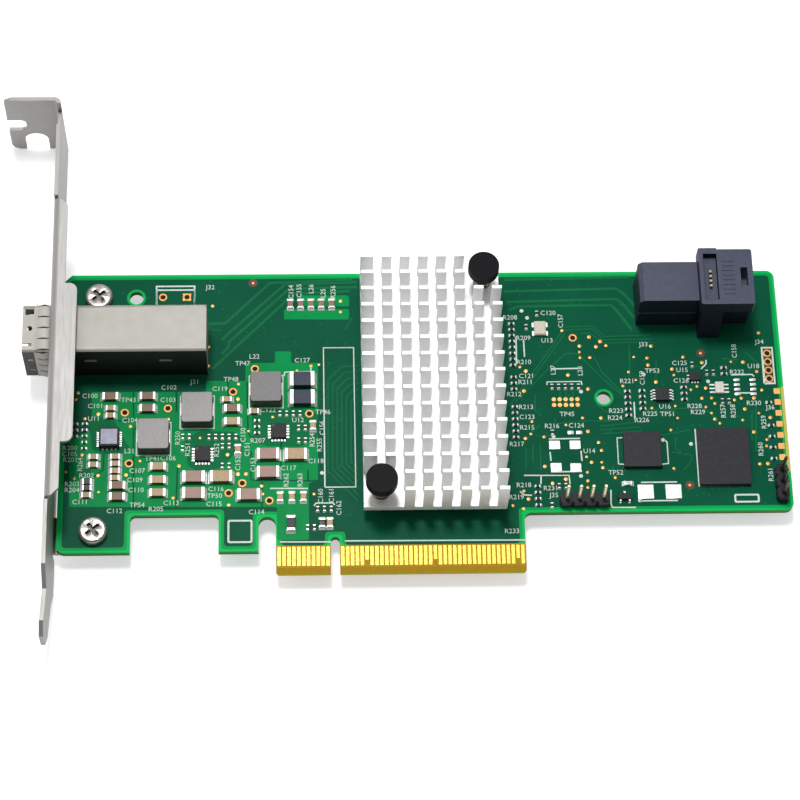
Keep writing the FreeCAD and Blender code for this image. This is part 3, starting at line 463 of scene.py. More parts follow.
def block(low, high, name="block"):
    """A box between two corners."""
    bpy.ops.object.select_all(action="DESELECT")
    low, high = Vector(low), Vector(high)
    bpy.ops.mesh.primitive_cube_add(size=1, location=(low + high) / 2 * MM, scale=(high - low) * MM)
    piece = bpy.context.object
    piece.name = name
    return settled(piece)


def arc(centre, radius, start=0.0, turn=360.0, count=16):
    """Points along an arc, without its last point when it goes full round."""
    steps = count if turn >= 360.0 else count - 1
    angles = [math.radians(start + turn * step / steps) for step in range(count)]
    return [(centre[0] + radius * math.cos(angle), centre[1] + radius * math.sin(angle))
            for angle in angles]


def oblong(centre, width, height, corner=0.0):
    """The outline of a rectangle, with round corners where a radius is given."""
    x, y = width / 2 - corner, height / 2 - corner
    if corner == 0:
        return [(centre[0] + dx, centre[1] + dy) for dx, dy in ((-x, -y), (x, -y), (x, y), (-x, y))]
    points = []
    for start, dx, dy in ((180, -x, -y), (270, x, -y), (0, x, y), (90, -x, y)):
        points += arc((centre[0] + dx, centre[1] + dy), corner, start, 90, 4)
    return points


def soft_cornered(points, reach):
    """An outline with each corner cut by a short curve, at most a reach from the corner."""
    curved = []
    for index, corner in enumerate(points):
        here = Vector(corner)
        before, after = Vector(points[index - 1]) - here, Vector(points[(index + 1) % len(points)]) - here
        start = here + before.normalized() * min(reach, before.length * CORNER_SHARE)
        end = here + after.normalized() * min(reach, after.length * CORNER_SHARE)
        for part in CORNER_STEPS:
            curved.append(tuple(start * (1 - part) ** 2 + here * 2 * part * (1 - part) + end * part ** 2))
    return curved


def drawn(name, lines, cyclic=False, tilt=0.0, **settings):
    """A mesh drawn as a curve along lines of points in millimetres, with the curve's own settings."""
    curve = bpy.data.curves.new(name, "CURVE")
    for key, value in settings.items():
        setattr(curve, key, value)
    for points in lines:
        spline = curve.splines.new("POLY")
        spline.points.add(len(points) - 1)
        spline.use_cyclic_u = cyclic
        for point, place in zip(spline.points, points):
            point.co = (*(value * MM for value in place), 1)
            point.tilt = tilt
    linked(name, curve)
    bpy.ops.object.convert(target="MESH")
    return bpy.context.object


def level(lines, height=0.0):
    """Lines of points of the board, all at one height."""
    return [[(x, y, height) for x, y in points] for points in lines]


def raised(piece, height):
    """The piece with flat faces, moved up by some millimetres."""
    bpy.ops.object.shade_flat()
    piece.location.z = height * MM
    return settled(piece)


def flat_plates(name, outlines, high, low=0.0):
    """Flat plates between two heights, where an outline inside another is a hole."""
    piece = drawn(name, level(outlines), cyclic=True, dimensions="2D", fill_mode="BOTH",
                  extrude=(high - low) / 2 * MM)
    return closed(raised(piece, (low + high) / 2))


def strips(name, lines, width, high, low=0.0):
    """Flat strips of one width along lines."""
    piece = drawn(name, level(lines), tilt=math.pi / 2, dimensions="3D", extrude=width / 2 * MM)
    raised(piece, (low + high) / 2)
    return applied(piece, "SOLIDIFY", thickness=(high - low) * MM, offset=0.0)


def lathe(name, profile, steps=40):
    """A round piece about the Z axis from a profile of radius and height."""
    piece = drawn(name, [[(radius, 0.0, height) for radius, height in profile]], dimensions="3D")
    bpy.ops.object.mode_set(mode="EDIT")
    bpy.ops.mesh.select_all(action="SELECT")
    bpy.ops.mesh.spin(steps=steps, angle=math.tau, center=(0, 0, 0), axis=(0, 0, 1))
    bpy.ops.object.mode_set(mode="OBJECT")
    return closed(piece)


def copies(master, places, name):
    """One piece of copies of a master, each at a place with a scale along its axes and a turn."""
    made = []
    for place, scale, turn in places:
        piece = bpy.data.objects.new(name, master.data.copy())
        bpy.context.scene.collection.objects.link(piece)
        piece.location = Vector(place) * MM
        piece.scale = scale
        piece.rotation_euler = (0, 0, turn)
        made.append(piece)
    bpy.data.objects.remove(master)
    return joined(made, name)


def at(points):
    """Plain places for copies at points of the board."""
    return [((x, y, 0.0), ONE, 0.0) for x, y in points]


def column(row):
    """The middles of like things in a row up or down the board."""
    return [(row["x"], row["first"] + row["pitch"] * index) for index in range(row["count"])]


def frame_line(low, high, gap=0.0):
    """The line round a flat box, some gap outside it."""
    left, right, bottom, top = low[0] - gap, high[0] + gap, low[1] - gap, high[1] + gap
    return [(left, bottom), (right, bottom), (right, top), (left, top), (left, bottom)]


# Reading the photograph's frame

def view_axes():
    """The camera's right, up and backward directions."""
    azimuth, elevation = math.radians(VIEW_AZIMUTH), math.radians(VIEW_ELEVATION)
    roll = math.radians(VIEW_ROLL)
    back = Vector((math.sin(azimuth) * math.cos(elevation),
                   -math.cos(azimuth) * math.cos(elevation), math.sin(elevation)))
    right = Vector((0, 0, 1)).cross(back).normalized()
    up = back.cross(right)
    return (right * math.cos(roll) + up * math.sin(roll),
            up * math.cos(roll) - right * math.sin(roll), back)


RIGHT, UP, BACK = view_axes()
EYE = VIEW_TARGET + BACK * VIEW_DISTANCE


def spot(pixel):
    """The place in millimetres on the component face under a pixel of the photograph."""
    across = (pixel[0] - PHOTO_SIDE / 2) / VIEW_FOCAL_PIXELS
    down = (pixel[1] - PHOTO_SIDE / 2) / VIEW_FOCAL_PIXELS
    ray = RIGHT * across - UP * down - BACK
    hit = EYE - ray * (EYE.z / ray.z)
    return hit.x, hit.y


def spots(pixels):
    """The places under several pixels."""
    return [spot(pixel) for pixel in pixels]


# Colours and materials

def linear(code):
    """A colour from its sRGB hex code."""
    values = [int(code[place:place + 2], 16) / 255 for place in (1, 3, 5)]
    return [value / 12.92 if value <= 0.04045 else ((value + 0.055) / 1.055) ** 2.4 for value in values]


def add(tree, kind, inputs=None, **settings):
    """Adds a node with its settings, and its inputs as values or links."""
    node = tree.nodes.new(kind)
    for key, value in settings.items():
        setattr(node, key, value)
    for key, value in (inputs or {}).items():
        if isinstance(value, bpy.types.NodeSocket):
            tree.links.new(value, node.inputs[key])
        else:
            node.inputs[key].default_value = value
    return node


def reckoned(tree, operation, first, second):
    """What a sum makes of two values or links."""
    return add(tree, "ShaderNodeMath", {0: first, 1: second}, operation=operation).outputs[0]


def opaque(colour):
    """A colour with its opacity, or a link as it is."""
    return colour if isinstance(colour, bpy.types.NodeSocket) else (*colour, 1.0)


def blended(tree, part, first, second):
    """A colour that goes from one colour or link to another."""
    return add(tree, "ShaderNodeMix", {"Factor": part, 6: opaque(first), 7: opaque(second)},
               data_type="RGBA").outputs[2]


class Finish:
    """A material named for the real one, with plain values on its shader's own sockets."""

    def __init__(self, name, colour, roughness, metallic=0.0, **sockets):
        self.material = bpy.data.materials.new(name)
        self.material.use_nodes = True
        self.tree = self.material.node_tree
        self.shader = self.tree.nodes["Principled BSDF"]
        self.colour = colour
        self.shader.inputs["Base Color"].default_value = opaque(colour)
        self.shader.inputs["Roughness"].default_value = roughness
        self.shader.inputs["Metallic"].default_value = metallic
        for key, value in sockets.items():
            self.shader.inputs[key.replace("_", " ")].default_value = value
        self.material.diffuse_color = opaque(colour)

    def fed(self, socket, link):
        """The finish with a link in one of its shader's sockets."""
        self.tree.links.new(link, self.shader.inputs[socket])
        return self

    def noise(self, size, stretch=ONE, detail=2.0):
        """A cloudy pattern whose grains are some millimetres wide, drawn out along an axis."""
        coords = add(self.tree, "ShaderNodeTexCoord")
        fitted = add(self.tree, "ShaderNodeMapping", {0: coords.outputs["Object"], "Scale": stretch})
        return add(self.tree, "ShaderNodeTexNoise", {
            "Vector": fitted.outputs[0], "Scale": 1 / (size * MM), "Detail": detail}).outputs["Fac"]

    def mottled(self, other, pattern, low=0.35, high=0.65):
        """The colour drifting towards another where a pattern is strong."""
        part = add(self.tree, "ShaderNodeMapRange", {
            "Value": pattern, "From Min": low, "From Max": high}).outputs[0]
        return self.fed("Base Color", blended(self.tree, part, self.colour, other))

    def rough_between(self, low, high, pattern):
        """Roughness that follows a pattern."""
        return self.fed("Roughness", add(self.tree, "ShaderNodeMapRange", {
            "Value": pattern, "From Min": ROUGH_RANGE[0], "From Max": ROUGH_RANGE[1],
            "To Min": low, "To Max": high}).outputs[0])

    def grained(self, pattern, depth):
        """Relief of some millimetres that follows a pattern."""
        return self.fed("Normal", add(self.tree, "ShaderNodeBump", {
            "Height": pattern, "Distance": depth * MM}).outputs[0])


def shade(colour, factor):
    """A colour made darker or lighter."""
    return [min(1.0, value * factor) for value in colour]


def solder_mask(name, colour):
    """Glossy green solder mask over copper: an even green with a slight drift and a soft sheen."""
    mask = Finish(name, colour, 0.3, Specular_IOR_Level=0.02)
    mask.mottled(shade(colour, 1.14), mask.noise(9.0))
    return mask.grained(mask.noise(0.7), 0.004).material


def masked_laminate(colours):
    """Glass-epoxy under mask: bright green without copper, brown cut edges, yellow at the contacts."""
    board = Finish("masked_glass_epoxy", colours.mask_rim, 0.3, Specular_IOR_Level=0.02)
    tree = board.tree
    coords = add(tree, "ShaderNodeTexCoord")
    place = add(tree, "ShaderNodeSeparateXYZ", {0: coords.outputs["Object"]}).outputs
    facing = add(tree, "ShaderNodeSeparateXYZ", {0: coords.outputs["Normal"]}).outputs
    upright = add(tree, "ShaderNodeMath", {0: facing["Z"]}, operation="ABSOLUTE").outputs[0]
    face = reckoned(tree, "GREATER_THAN", upright, BOARD_FACING)
    above = reckoned(tree, "GREATER_THAN", place["Y"], CONTACT_ZONE_TOP * MM)
    left = reckoned(tree, "LESS_THAN", place["X"], TONGUE_LEFT * MM)
    right = reckoned(tree, "GREATER_THAN", place["X"], TONGUE_RIGHT * MM)
    outside = reckoned(tree, "MAXIMUM", above, reckoned(tree, "MAXIMUM", left, right))
    masked = reckoned(tree, "MULTIPLY", outside, face)
    depth = add(tree, "ShaderNodeMapRange", {
        "Value": place["Z"], "From Min": WALL_GREEN_LOW * MM, "From Max": WALL_BROWN_HIGH * MM}).outputs[0]
    wall = blended(tree, depth, colours.mask_wall, colours.wall_foot)
    edge = blended(tree, outside, colours.board_edge, wall)
    weave = blended(tree, board.noise(0.5), colours.laminate, shade(colours.laminate, 0.75))
    bare = blended(tree, face, edge, weave)
    board.fed("Base Color", blended(tree, masked, bare, colours.mask_rim))
    return board.grained(board.noise(0.6), 0.004).material


def bare_laminate(name, colour):
    """Uncovered glass-epoxy: dull yellow or brown with a fine fibre fleck."""
    bare = Finish(name, colour, 0.55)
    return bare.mottled(shade(colour, 0.8), bare.noise(0.5)).material


def plated_gold(name, colour, roughness):
    """Gold over nickel, plated: warm and bright, with faint wear in patches."""
    gold = Finish(name, colour, roughness, 0.75)
    gold.mottled(shade(colour, 0.86), gold.noise(1.5))
    return gold.rough_between(roughness - 0.06, roughness + 0.1, gold.noise(0.8)).material


def solder_tin(colours):
    """Reflowed tin solder: near white with soft ripples."""
    if "reflowed_tin" in bpy.data.materials:
        return bpy.data.materials["reflowed_tin"]
    tin = Finish("reflowed_tin", colours.tin, 0.3, 0.35)
    tin.mottled(shade(colours.tin, 0.85), tin.noise(0.7))
    return tin.grained(tin.noise(0.5), 0.02).material


def legend_ink(colours):
    """Printed epoxy ink: flat white, thin enough for a little green to show."""
    ink = Finish("legend_ink", colours.ink, 0.6)
    return ink.mottled(shade(colours.ink, 0.86), ink.noise(0.6)).material


def zinc_steel(colours):
    """Zinc-plated rolled steel: light grey satin with a faint long grain."""
    steel = Finish("zinc_plated_steel", colours.steel, 0.5, 0.65)
    grain = steel.noise(0.35, (1.0, 0.06, 1.0))
    steel.mottled(shade(colours.steel, 0.94), steel.noise(6.0, (1.0, 0.4, 1.0)))
    steel.rough_between(0.46, 0.54, grain)
    return steel.grained(grain, 0.0015).material


def nickel_sheet(name, colour):
    """Nickel-plated sheet: warm grey with a soft mirror and small scuffs."""
    sheet = Finish(name, colour, 0.5, 0.45)
    sheet.mottled(shade(colour, 0.96), sheet.noise(9.0))
    return sheet.rough_between(0.48, 0.52, sheet.noise(3.0)).material


def nickel_screw(name, colour, roughness):
    """Nickel-plated screw: bright with a slight haze; a darker copy is painted shade down in its recess."""
    screw = Finish(name, colour, roughness, 0.65)
    return screw.rough_between(roughness - 0.06, roughness + 0.12, screw.noise(0.5)).material


def anodised_aluminium(colours):
    """Etched and clear-anodised aluminium: near white satin that scatters light."""
    metal = Finish("clear_anodised_aluminium", colours.sink, 0.55, 0.6)
    metal.mottled(shade(colours.sink, 0.96), metal.noise(2.5, (1.0, 0.5, 0.5)))
    return metal.grained(metal.noise(0.25, (1.0, 0.15, 1.0)), 0.006).material


def moulded(name, colour, roughness, grit=0.25, depth=0.006, gloss=0.2):
    """Moulded plastic or epoxy: dull, with a fine spark-eroded grit drawn coarse enough to show."""
    plastic = Finish(name, colour, roughness, Specular_IOR_Level=gloss)
    plastic.mottled(shade(colour, 1.25), plastic.noise(1.2))
    return plastic.grained(plastic.noise(grit), depth).material


def fired_ceramic(name, colour):
    """Fired ceramic: matt and even, with a dusty fleck."""
    ceramic = Finish(name, colour, 0.5)
    ceramic.mottled(shade(colour, 0.86), ceramic.noise(0.4))
    return ceramic.grained(ceramic.noise(0.2), 0.004).material


def pressed_powder(name, colour):
    """Pressed iron powder: light grey with dark specks under lacquer; a darker copy is painted shade on the
    inductors' sides.
    """
    powder = Finish(name, colour, 0.55, 0.1)
    powder.mottled(shade(colour, 0.72), powder.noise(0.28, detail=4.0), 0.5, 0.75)
    return powder.grained(powder.noise(0.2), 0.015).material


def clear_lens(colours):
    """Clear cast epoxy over a small lamp: milky and glossy."""
    lens = Finish("clear_epoxy_lens", colours.lens, 0.15, Transmission_Weight=0.1, IOR=1.5)
    return lens.rough_between(0.1, 0.25, lens.noise(0.4)).material


def hole_black():
    """The unlit inside of a plated hole: black with a dull wall."""
    hole = Finish("unlit_hole", linear("#0b0a09"), 0.8)
    return hole.mottled(linear("#171310"), hole.noise(0.4)).material


# Sizes and colours that a user may change

def length(name, description, millimetres):
    """A length property with a default given in millimetres."""
    return bpy.props.FloatProperty(name=name, description=description, default=millimetres * MM, min=0.0,
                                   precision=5, subtype="DISTANCE", unit="LENGTH")


def tint(name, description, code):
    """A colour property, given as an sRGB hex code."""
    return bpy.props.FloatVectorProperty(name=name, description=description, default=linear(code),
                                         subtype="COLOR", size=3, min=0.0, max=1.0)


class CardSizes(bpy.types.PropertyGroup):
    """Sizes of what is printed on the card and of its edges."""
    via_radius: length("Via radius", "Radius of a gold via", 0.42)
    ring_radius: length("Test ring radius", "Outer radius of a ringed test hole", 0.9)
    ring_hole: length("Test hole radius", "Radius of the dark hole in a test ring", 0.54)
    trace_width: length("Trace width", "Width of a signal trace under the mask", 0.26)
    pair_width: length("Pair width", "Width of a differential pair under the mask", 0.62)
    ink_width: length("Ink line width", "Width of a printed line", 0.3)
    letter_height: length("Letter size", "Size of the printed designators", 1.5)
    sheet_edge: length("Sheet edge", "Rounding of the sheet metal's edges", 0.12)
    mould_edge: length("Moulding edge", "Rounding of the moulded parts' edges", 0.2)
    chip_edge: length("Chip edge", "Rounding of the chips' edges", 0.1)
    fin_edge: length("Fin edge", "Rounding of the heat sink's edges", 0.09)


class CardColours(bpy.types.PropertyGroup):
    """Colours of the card's finishes."""
    mask_plane: tint("Mask on plane", "Solder mask over a copper plane", "#0f5b40")
    mask_pour: tint("Mask on pour", "Solder mask over a power pour", "#0d9650")
    mask_trace: tint("Mask on trace", "Solder mask over a trace", "#1b7247")
    mask_patch: tint("Mask on patch", "Solder mask in the patches round the regulators", "#0e7446")
    mask_band: tint("Mask near an edge", "Solder mask where the copper ends", "#13a855")
    mask_rim: tint("Mask on laminate", "Solder mask with no copper below", "#14cd66")
    laminate: tint("Laminate", "Glass-epoxy between the contacts", "#c8a02c")
    board_edge: tint("Contact edge", "Glass-epoxy at the cut edge below the contacts", "#c3d044")
    mask_wall: tint("Board wall", "Upper part of the board's cut edges", "#3fa24a")
    wall_foot: tint("Board wall foot", "Lower part of the board's cut edges", "#5f6526")
    laminate_strip: tint("Laminate strip", "Glass-epoxy at the bare right edge", "#d6d04e")
    contact: tint("Contact gold", "Hard gold on the edge contacts", "#d9ac44")
    via: tint("Via gold", "Thin gold on vias and pads", "#e9ac64")
    ring: tint("Ring gold", "Thin gold on ringed holes", "#e0a060")
    bare_ring: tint("Bare ring", "Uncovered laminate round an aiming mark", "#633814")
    pin: tint("Pin gold", "Gold on the header pins", "#f0e6c4")
    # Painted shade: the dark colour given to the edge header's pins
    pin_painted_shade: tint("Dark pin", "Painted shade on the pins of the edge header", "#4b4741")
    tin: tint("Tin", "Reflowed solder", "#f6f6f4")
    ink: tint("Ink", "Printed legend", "#eaf6ee")
    steel: tint("Bracket steel", "Zinc-plated bracket", "#a7a5a2")
    cage: tint("Cage nickel", "Nickel-plated cage", "#a4a29a")
    # Painted shade: a near-black nickel for the cage's front faces, which face away from the lamp
    cage_side: tint("Cage side", "Dull front of the cage", "#262522")
    screw: tint("Screw nickel", "Nickel-plated screws", "#a3a09a")
    # Painted shade: the darker nickel down in the screws' cross recesses
    recess: tint("Screw recess", "Painted shade in the screws' cross recesses", "#6b6864")
    sink: tint("Heat sink", "Anodised aluminium", "#ffffff")
    pin_black: tint("Push pin", "Nylon push pins", "#0d0e12")
    port_contact: tint("Port contact", "Contact springs of the internal port", "#a99f88")
    spring: tint("Spring", "Push-pin springs", "#b8a888")
    pad: tint("Thermal pad", "Pad below the heat sink", "#8d9298")
    chip: tint("Chip epoxy", "Moulded chip packages", "#2c2b30")
    connector: tint("Internal port", "Moulded internal port", "#363c55")
    receptacle: tint("Port black", "Moulding inside the cage", "#1d1e22")
    header: tint("Header", "Pin header bodies", "#1f1f24")
    inductor: tint("Inductor", "Pressed power inductors", "#aaa6a6")
    # Painted shade: the dark colour of the power inductors' upright faces
    inductor_painted_shade: tint("Inductor side", "Painted shade on the sides of the power inductors", "#4a4a4a")
    inductor_dark: tint("Darker inductor", "Lacquer of the third power inductor", "#868484")
    module: tint("Module", "Regulator module's lid", "#b4b1c8")
    moulded_capacitor: tint("Moulded capacitor", "Moulded capacitor bodies", "#3a4052")
    ceramic_pink: tint("Pink ceramic", "Capacitors of pink-brown ceramic", "#b39082")
    ceramic_tan: tint("Tan ceramic", "Capacitors of tan ceramic", "#c9aa80")
    ceramic_brown: tint("Brown ceramic", "Capacitors of brown ceramic", "#95735d")
    resistor: tint("Resistor", "Resistor glaze", "#2b2a2e")
    fuse: tint("Fuse", "Fuse body", "#1d1f2b")
    beige: tint("Oscillator", "Oscillator lid", "#e9dccb")
    ceramic_white: tint("White ceramic", "Resonator package", "#f0ece4")
    lens: tint("Light", "Status light lens", "#f2efe6")
    floor: tint("Floor", "Studio floor", "#f4f4f4")


# Places read from the photograph

# Copper under the mask and vias, in the photograph's pixels
POUR_OUTLINE = (
    (69, 441), (69, 507), (277, 507), (277, 540), (309, 540), (309, 483), (318, 481), (318, 363),
    (291, 363), (291, 351.5), (275, 351.5), (275, 363), (245.5, 363), (245.5, 381), (206, 381), (206, 392),
    (92, 392), (92, 430))
SMALL_POURS = (
    ((284, 309), (349, 309), (349, 319.5), (284, 319.5)),
    ((299, 295.5), (347, 295.5), (349, 297), (349, 306.5), (299, 306.5)),
)
POUR_GAPS = (
    ((133.5, 392), (133.5, 420), (118, 421)), ((133.5, 455), (133.5, 507)), ((176.5, 392), (176.5, 412)),
    ((177.5, 468), (176, 507)), ((247, 382), (248, 432), (252, 440)), ((251, 452), (251, 480), (318, 481)),
    ((281, 440), (281, 478)), ((308, 470), (308, 481)), ((104, 454), (103, 470), (92, 478)),
    ((262, 482), (262, 507)), ((140, 424), (133.5, 430), (133.5, 452)), ((228, 381), (228, 400)),
)
DARK_PATCHES = (
    ((89, 419), (112, 416), (123, 438), (131, 449), (118, 455), (104, 454), (92, 450)),
    ((184, 441), (200, 431), (236, 432), (244, 442), (236, 452), (222, 468), (198, 472), (188, 466)),
    ((252, 411), (300, 409), (318, 414), (318, 437), (300, 447), (266, 446), (252, 440)),
    ((78, 469), (91, 469), (91, 478), (78, 478)),
)
PAIR_TRACES = (
    ((209, 324), (225, 323.5), (270, 283), (352, 280)), ((222, 340), (228, 334), (285, 284.5), (357, 282)),
    ((222, 354), (228.5, 347), (229, 342), (289, 289), (357, 287)),
    ((212, 369), (222, 360), (286, 301), (292, 294), (350, 291)), ((504, 280), (628, 277)),
    ((504, 291.5), (616, 288.5), (624, 294), (636, 308)), ((506, 302), (616, 299), (622, 303), (634, 318)),
    ((509, 310), (518, 306.5), (611, 305), (617, 311), (632, 330)),
)
TRACES = (
    ((564, 327), (593, 326), (604, 336.5), (650, 335)), ((564, 330), (592, 329), (604, 340), (652, 339)),
    ((580, 333.5), (590, 333), (603, 343), (652, 342)), ((561.6, 332), (511, 404)),
    ((565, 333), (516, 402)), ((594, 357.5), (598, 364), (601, 371), (622, 392)),
    ((582, 358), (604, 380), (624, 396)), ((565, 354), (571, 353), (580, 355)),
    ((565, 354), (547, 370), (520, 398)), ((630, 352), (629, 380)), ((629, 345), (629, 360)),
    ((555, 418), (555, 430), (550, 436), (536, 436)), ((540, 425), (532, 432), (528, 440)),
    ((556, 424), (578, 421), (612, 421)), ((600, 426), (612, 425), (646, 421)), ((600, 430), (640, 427)),
    ((602, 434), (640, 431)), ((646, 446), (658, 436), (690, 430)), ((676, 437), (675, 448), (684, 455)),
    ((684, 470), (692, 460), (691, 455), (672, 452)), ((656, 360), (656, 385)), ((745, 352), (768, 372)),
    ((708, 367), (690, 366)), ((722, 358), (738, 360)), ((535, 395), (535, 410), (541, 416)),
    ((560, 392), (560, 397)), ((566, 392), (566, 397)), ((573, 392), (573, 397)), ((526, 448), (526, 470)),
    ((533, 446), (533, 462)), ((540, 444), (541, 470)), ((613, 466), (613, 474), (617, 480)),
    ((752, 410), (752, 440)), ((756, 400), (756, 452)), ((640, 404), (646, 410), (690, 408)),
    ((644, 414), (676, 410)), ((596, 404), (606, 412), (644, 408)), ((700, 405), (716, 418)),
    ((140, 404), (146, 410)), ((262, 420), (276, 434)), ((268, 416), (284, 431)), ((278, 424), (286, 430)),
    ((190, 438), (196, 446)), ((100, 418), (108, 424)), ((222, 330), (212, 330)), ((345, 330), (352, 318)),
)
BUS = dict(count=6, left=328, right=358, step=4.6, top=366.5, drop=6.0, turn=13.5, ease=1.8, foot=471)
VIAS = (
    (78, 393), (75.6, 399.6), (98.3, 414), (85, 418.7), (130.5, 426.4), (82, 455), (66, 472), (74, 478.6),
    (98, 475.5), (126, 475), (140, 461), (168.5, 419), (200, 438), (227.5, 454.7), (179, 466), (248.5, 431),
    (238, 474), (246, 474), (228.8, 505), (261.6, 486), (263, 494), (297, 370.6), (311, 366), (319, 364.6),
    (272.8, 417), (314, 494), (98.5, 492), (173, 498), (238.5, 384), (238, 399), (212.6, 306), (208.5, 347),
    (208.5, 366), (340.5, 301), (340.5, 312), (520, 367), (526, 371), (524, 391), (568, 375), (588, 389),
    (582.6, 418), (566, 425), (532, 421.6), (531, 434), (525.5, 438.5), (544, 437), (588, 431.5),
    (562, 330.5), (589, 337), (579.4, 346), (579.4, 352), (580, 357.6), (596, 346.7), (590, 357.6),
    (600, 341.5), (606, 345.6), (634, 357), (647, 358), (648, 365), (628.6, 372), (636, 380), (623, 386),
    (656, 382), (672, 369), (674, 375), (652, 408), (675.5, 406), (677.7, 418), (601, 418), (671, 430),
    (598.7, 442.5), (601.6, 450.4), (586.7, 456.8), (591.7, 462.3), (601.9, 462.3), (603, 467.7),
    (587.5, 472.4), (588, 480.8), (615.4, 477.6), (588, 487.5), (566, 479.2), (552.7, 483.3), (524, 491),
    (528.6, 499), (512.9, 505.7), (523.8, 508.7), (545, 466.4), (758.5, 333), (731, 361.8), (702, 362.6),
    (691, 389.8), (697, 386.4), (705.8, 388), (711.7, 398), (715, 403.5), (706, 407), (711.7, 413),
    (715, 419), (720, 423.2), (702, 398.2), (734.5, 400), (741.4, 398.2), (754, 398), (762, 390),
    (756.8, 371.6), (745, 409), (743, 420), (759, 413.2), (770.5, 417.5), (754, 432), (767, 439.6),
    (766.7, 446), (760, 464), (768, 463.6), (674, 468.4), (743, 362), (651, 346), (683, 357),
)

# Holes and pads, in millimetres
RING_HOLES = ((-43.7, 36.5), (-42.6, 24.9), (-34.7, 37.4), (-21.1, 41.1), (-16.5, 46.4), (-5.1, 35.9),
              (-19.1, 20.2), (-21.9, 18.0), (-13.5, 16.2), (51.1, 53.1))
GOLD_PAD_ROW = dict(x=93.75, first=40.2, pitch=-2.54, count=8)
GOLD_PAD = (1.35, 1.35, 0.2)
FIDUCIALS = ((78.2, 49.3), (73.9, 18.8), (-16.9, 66.8))
PROBE_ROWS = dict(first=46.4, pitch=1.25, count=5, heights=(38.7, 37.4), radius=0.48)
BARE_PADS = (((46.1, 28.2), (2.25, 1.95)), ((50.4, 28.2), (2.25, 1.95)), ((46.2, 23.1), (2.25, 1.95)),
             ((50.3, 23.0), (2.25, 1.95)), ((49.6, 31.0), (1.3, 0.8)), ((51.4, 31.0), (1.3, 0.8)),
             ((64.6, 17.4), (3.3, 3.2)), ((70.4, 17.4), (3.3, 3.2)))
BARE_PAD_ROUND = 0.15
EMPTY_CHIP = tuple(dict(x=x, first=42.9, pitch=-1.1, count=4) for x in (85.4, 88.8))
EMPTY_CHIP_PAD = (1.3, 0.6, 0.2)
FAR_ROW = dict(x=92.4, first=43.1, pitch=2.0, count=4)
SPARE_HOLES = ((-36.1, 63.5), (-31.0, 63.5))
SQUARE_RING = (1.75, 1.75, 0.1)

# Rows of pads along the sides of chips: side, count, pitch, pad size outward and along, and how far
# a pad's middle lies outside the chip
LEAD_ROWS = {
    "regulator_chips": tuple((side, 5, 0.65, (0.75, 0.34), 0.2) for side in ("left", "right", "front")),
    "regulator_module": (("left", 7, 0.5, (0.7, 0.28), 0.2), ("right", 7, 0.5, (0.6, 0.28), 0.15),
                         ("front", 4, 0.9, (0.5, 0.4), 0.12)),
    "clock_oscillator": (("left", 2, 2.0, (1.2, 1.1), -0.15), ("right", 2, 2.0, (1.2, 1.1), -0.15)),
    "resonator": (("left", 3, 0.85, (1.1, 0.36), 0.6), ("right", 3, 0.85, (1.1, 0.36), 0.6)),
    "logic_chip": (("front", 3, 0.6, (0.5, 0.3), 0.2), ("left", 2, 0.8, (0.5, 0.3), 0.2)),
}

# Print: boxes in millimetres, lines and words in the photograph's pixels
LABEL_BOX = ((-2.0, 19.1), (4.4, 51.2))
BOLD_INK_BOXES = (((-37.5, 59.5), (-29.4, 66.1)), ((-37.5, 59.5), (-29.4, 65.2)),
                  ((91.3, 42.0), (93.5, 50.4)))
BOLD_INK_WIDTH = 0.5
INK_LINES = (
    ((280, 542), (331, 542)), ((345, 541), (526, 540)), ((516, 337), (516.5, 364)),
    ((523.5, 340), (524.5, 357)), ((524, 475.5), (569, 475.5), (570, 484)), ((541, 475.5), (541, 484)),
    ((549, 439), (580, 438.5)), ((550, 452), (551, 461)), ((581, 451), (582, 461)),
    ((551, 472), (582, 471.5)), ((551, 369), (578, 368.5)),
    ((547, 385), (547, 382), (581, 381.5), (582, 385)),
    ((632, 437.5), (617, 438), (618.5, 464), (625, 464.5)),
    ((664, 440), (667, 442), (668.5, 463.5), (661, 464.5)), ((695, 429), (699, 486), (752, 485)),
    ((641, 482.5), (677, 482)), ((640, 501), (678, 500.5)),
    ((611, 490), (611, 504), (612.5, 507.5), (636, 507.5)), ((634, 402), (635, 420)),
    ((735, 393), (756, 393)), ((731, 375), (752, 374.5), (754, 376.5)),
    ((701, 369), (706, 364), (706, 360)), ((284, 376), (284.7, 372.2), (310.7, 371.6), (311, 368)),
    ((270, 488.5), (308, 488.5)), ((314, 506), (316, 503.2), (333, 503), (334.6, 505)),
    ((520, 491.5), (524.5, 495), (532, 495.4)),
)
INDUCTOR_INK_GAP = 0.3
INK_DOTS = ((663, 440), (691, 444), (527, 318), (521.5, 311), (553.5, 436.5), (643.5, 374.5), (708, 381.5),
            (322, 473), (581, 476), (581, 391.7), (640, 500.5))
INK_DOT_RADIUS = 0.42
PLAIN_BADGES = (((227.5, 520), (252.5, 543)), ((734, 494), (760, 502.5)))
BADGE_LINE = 0.4
BADGE_ROUNDS = (0.4, 0.2)
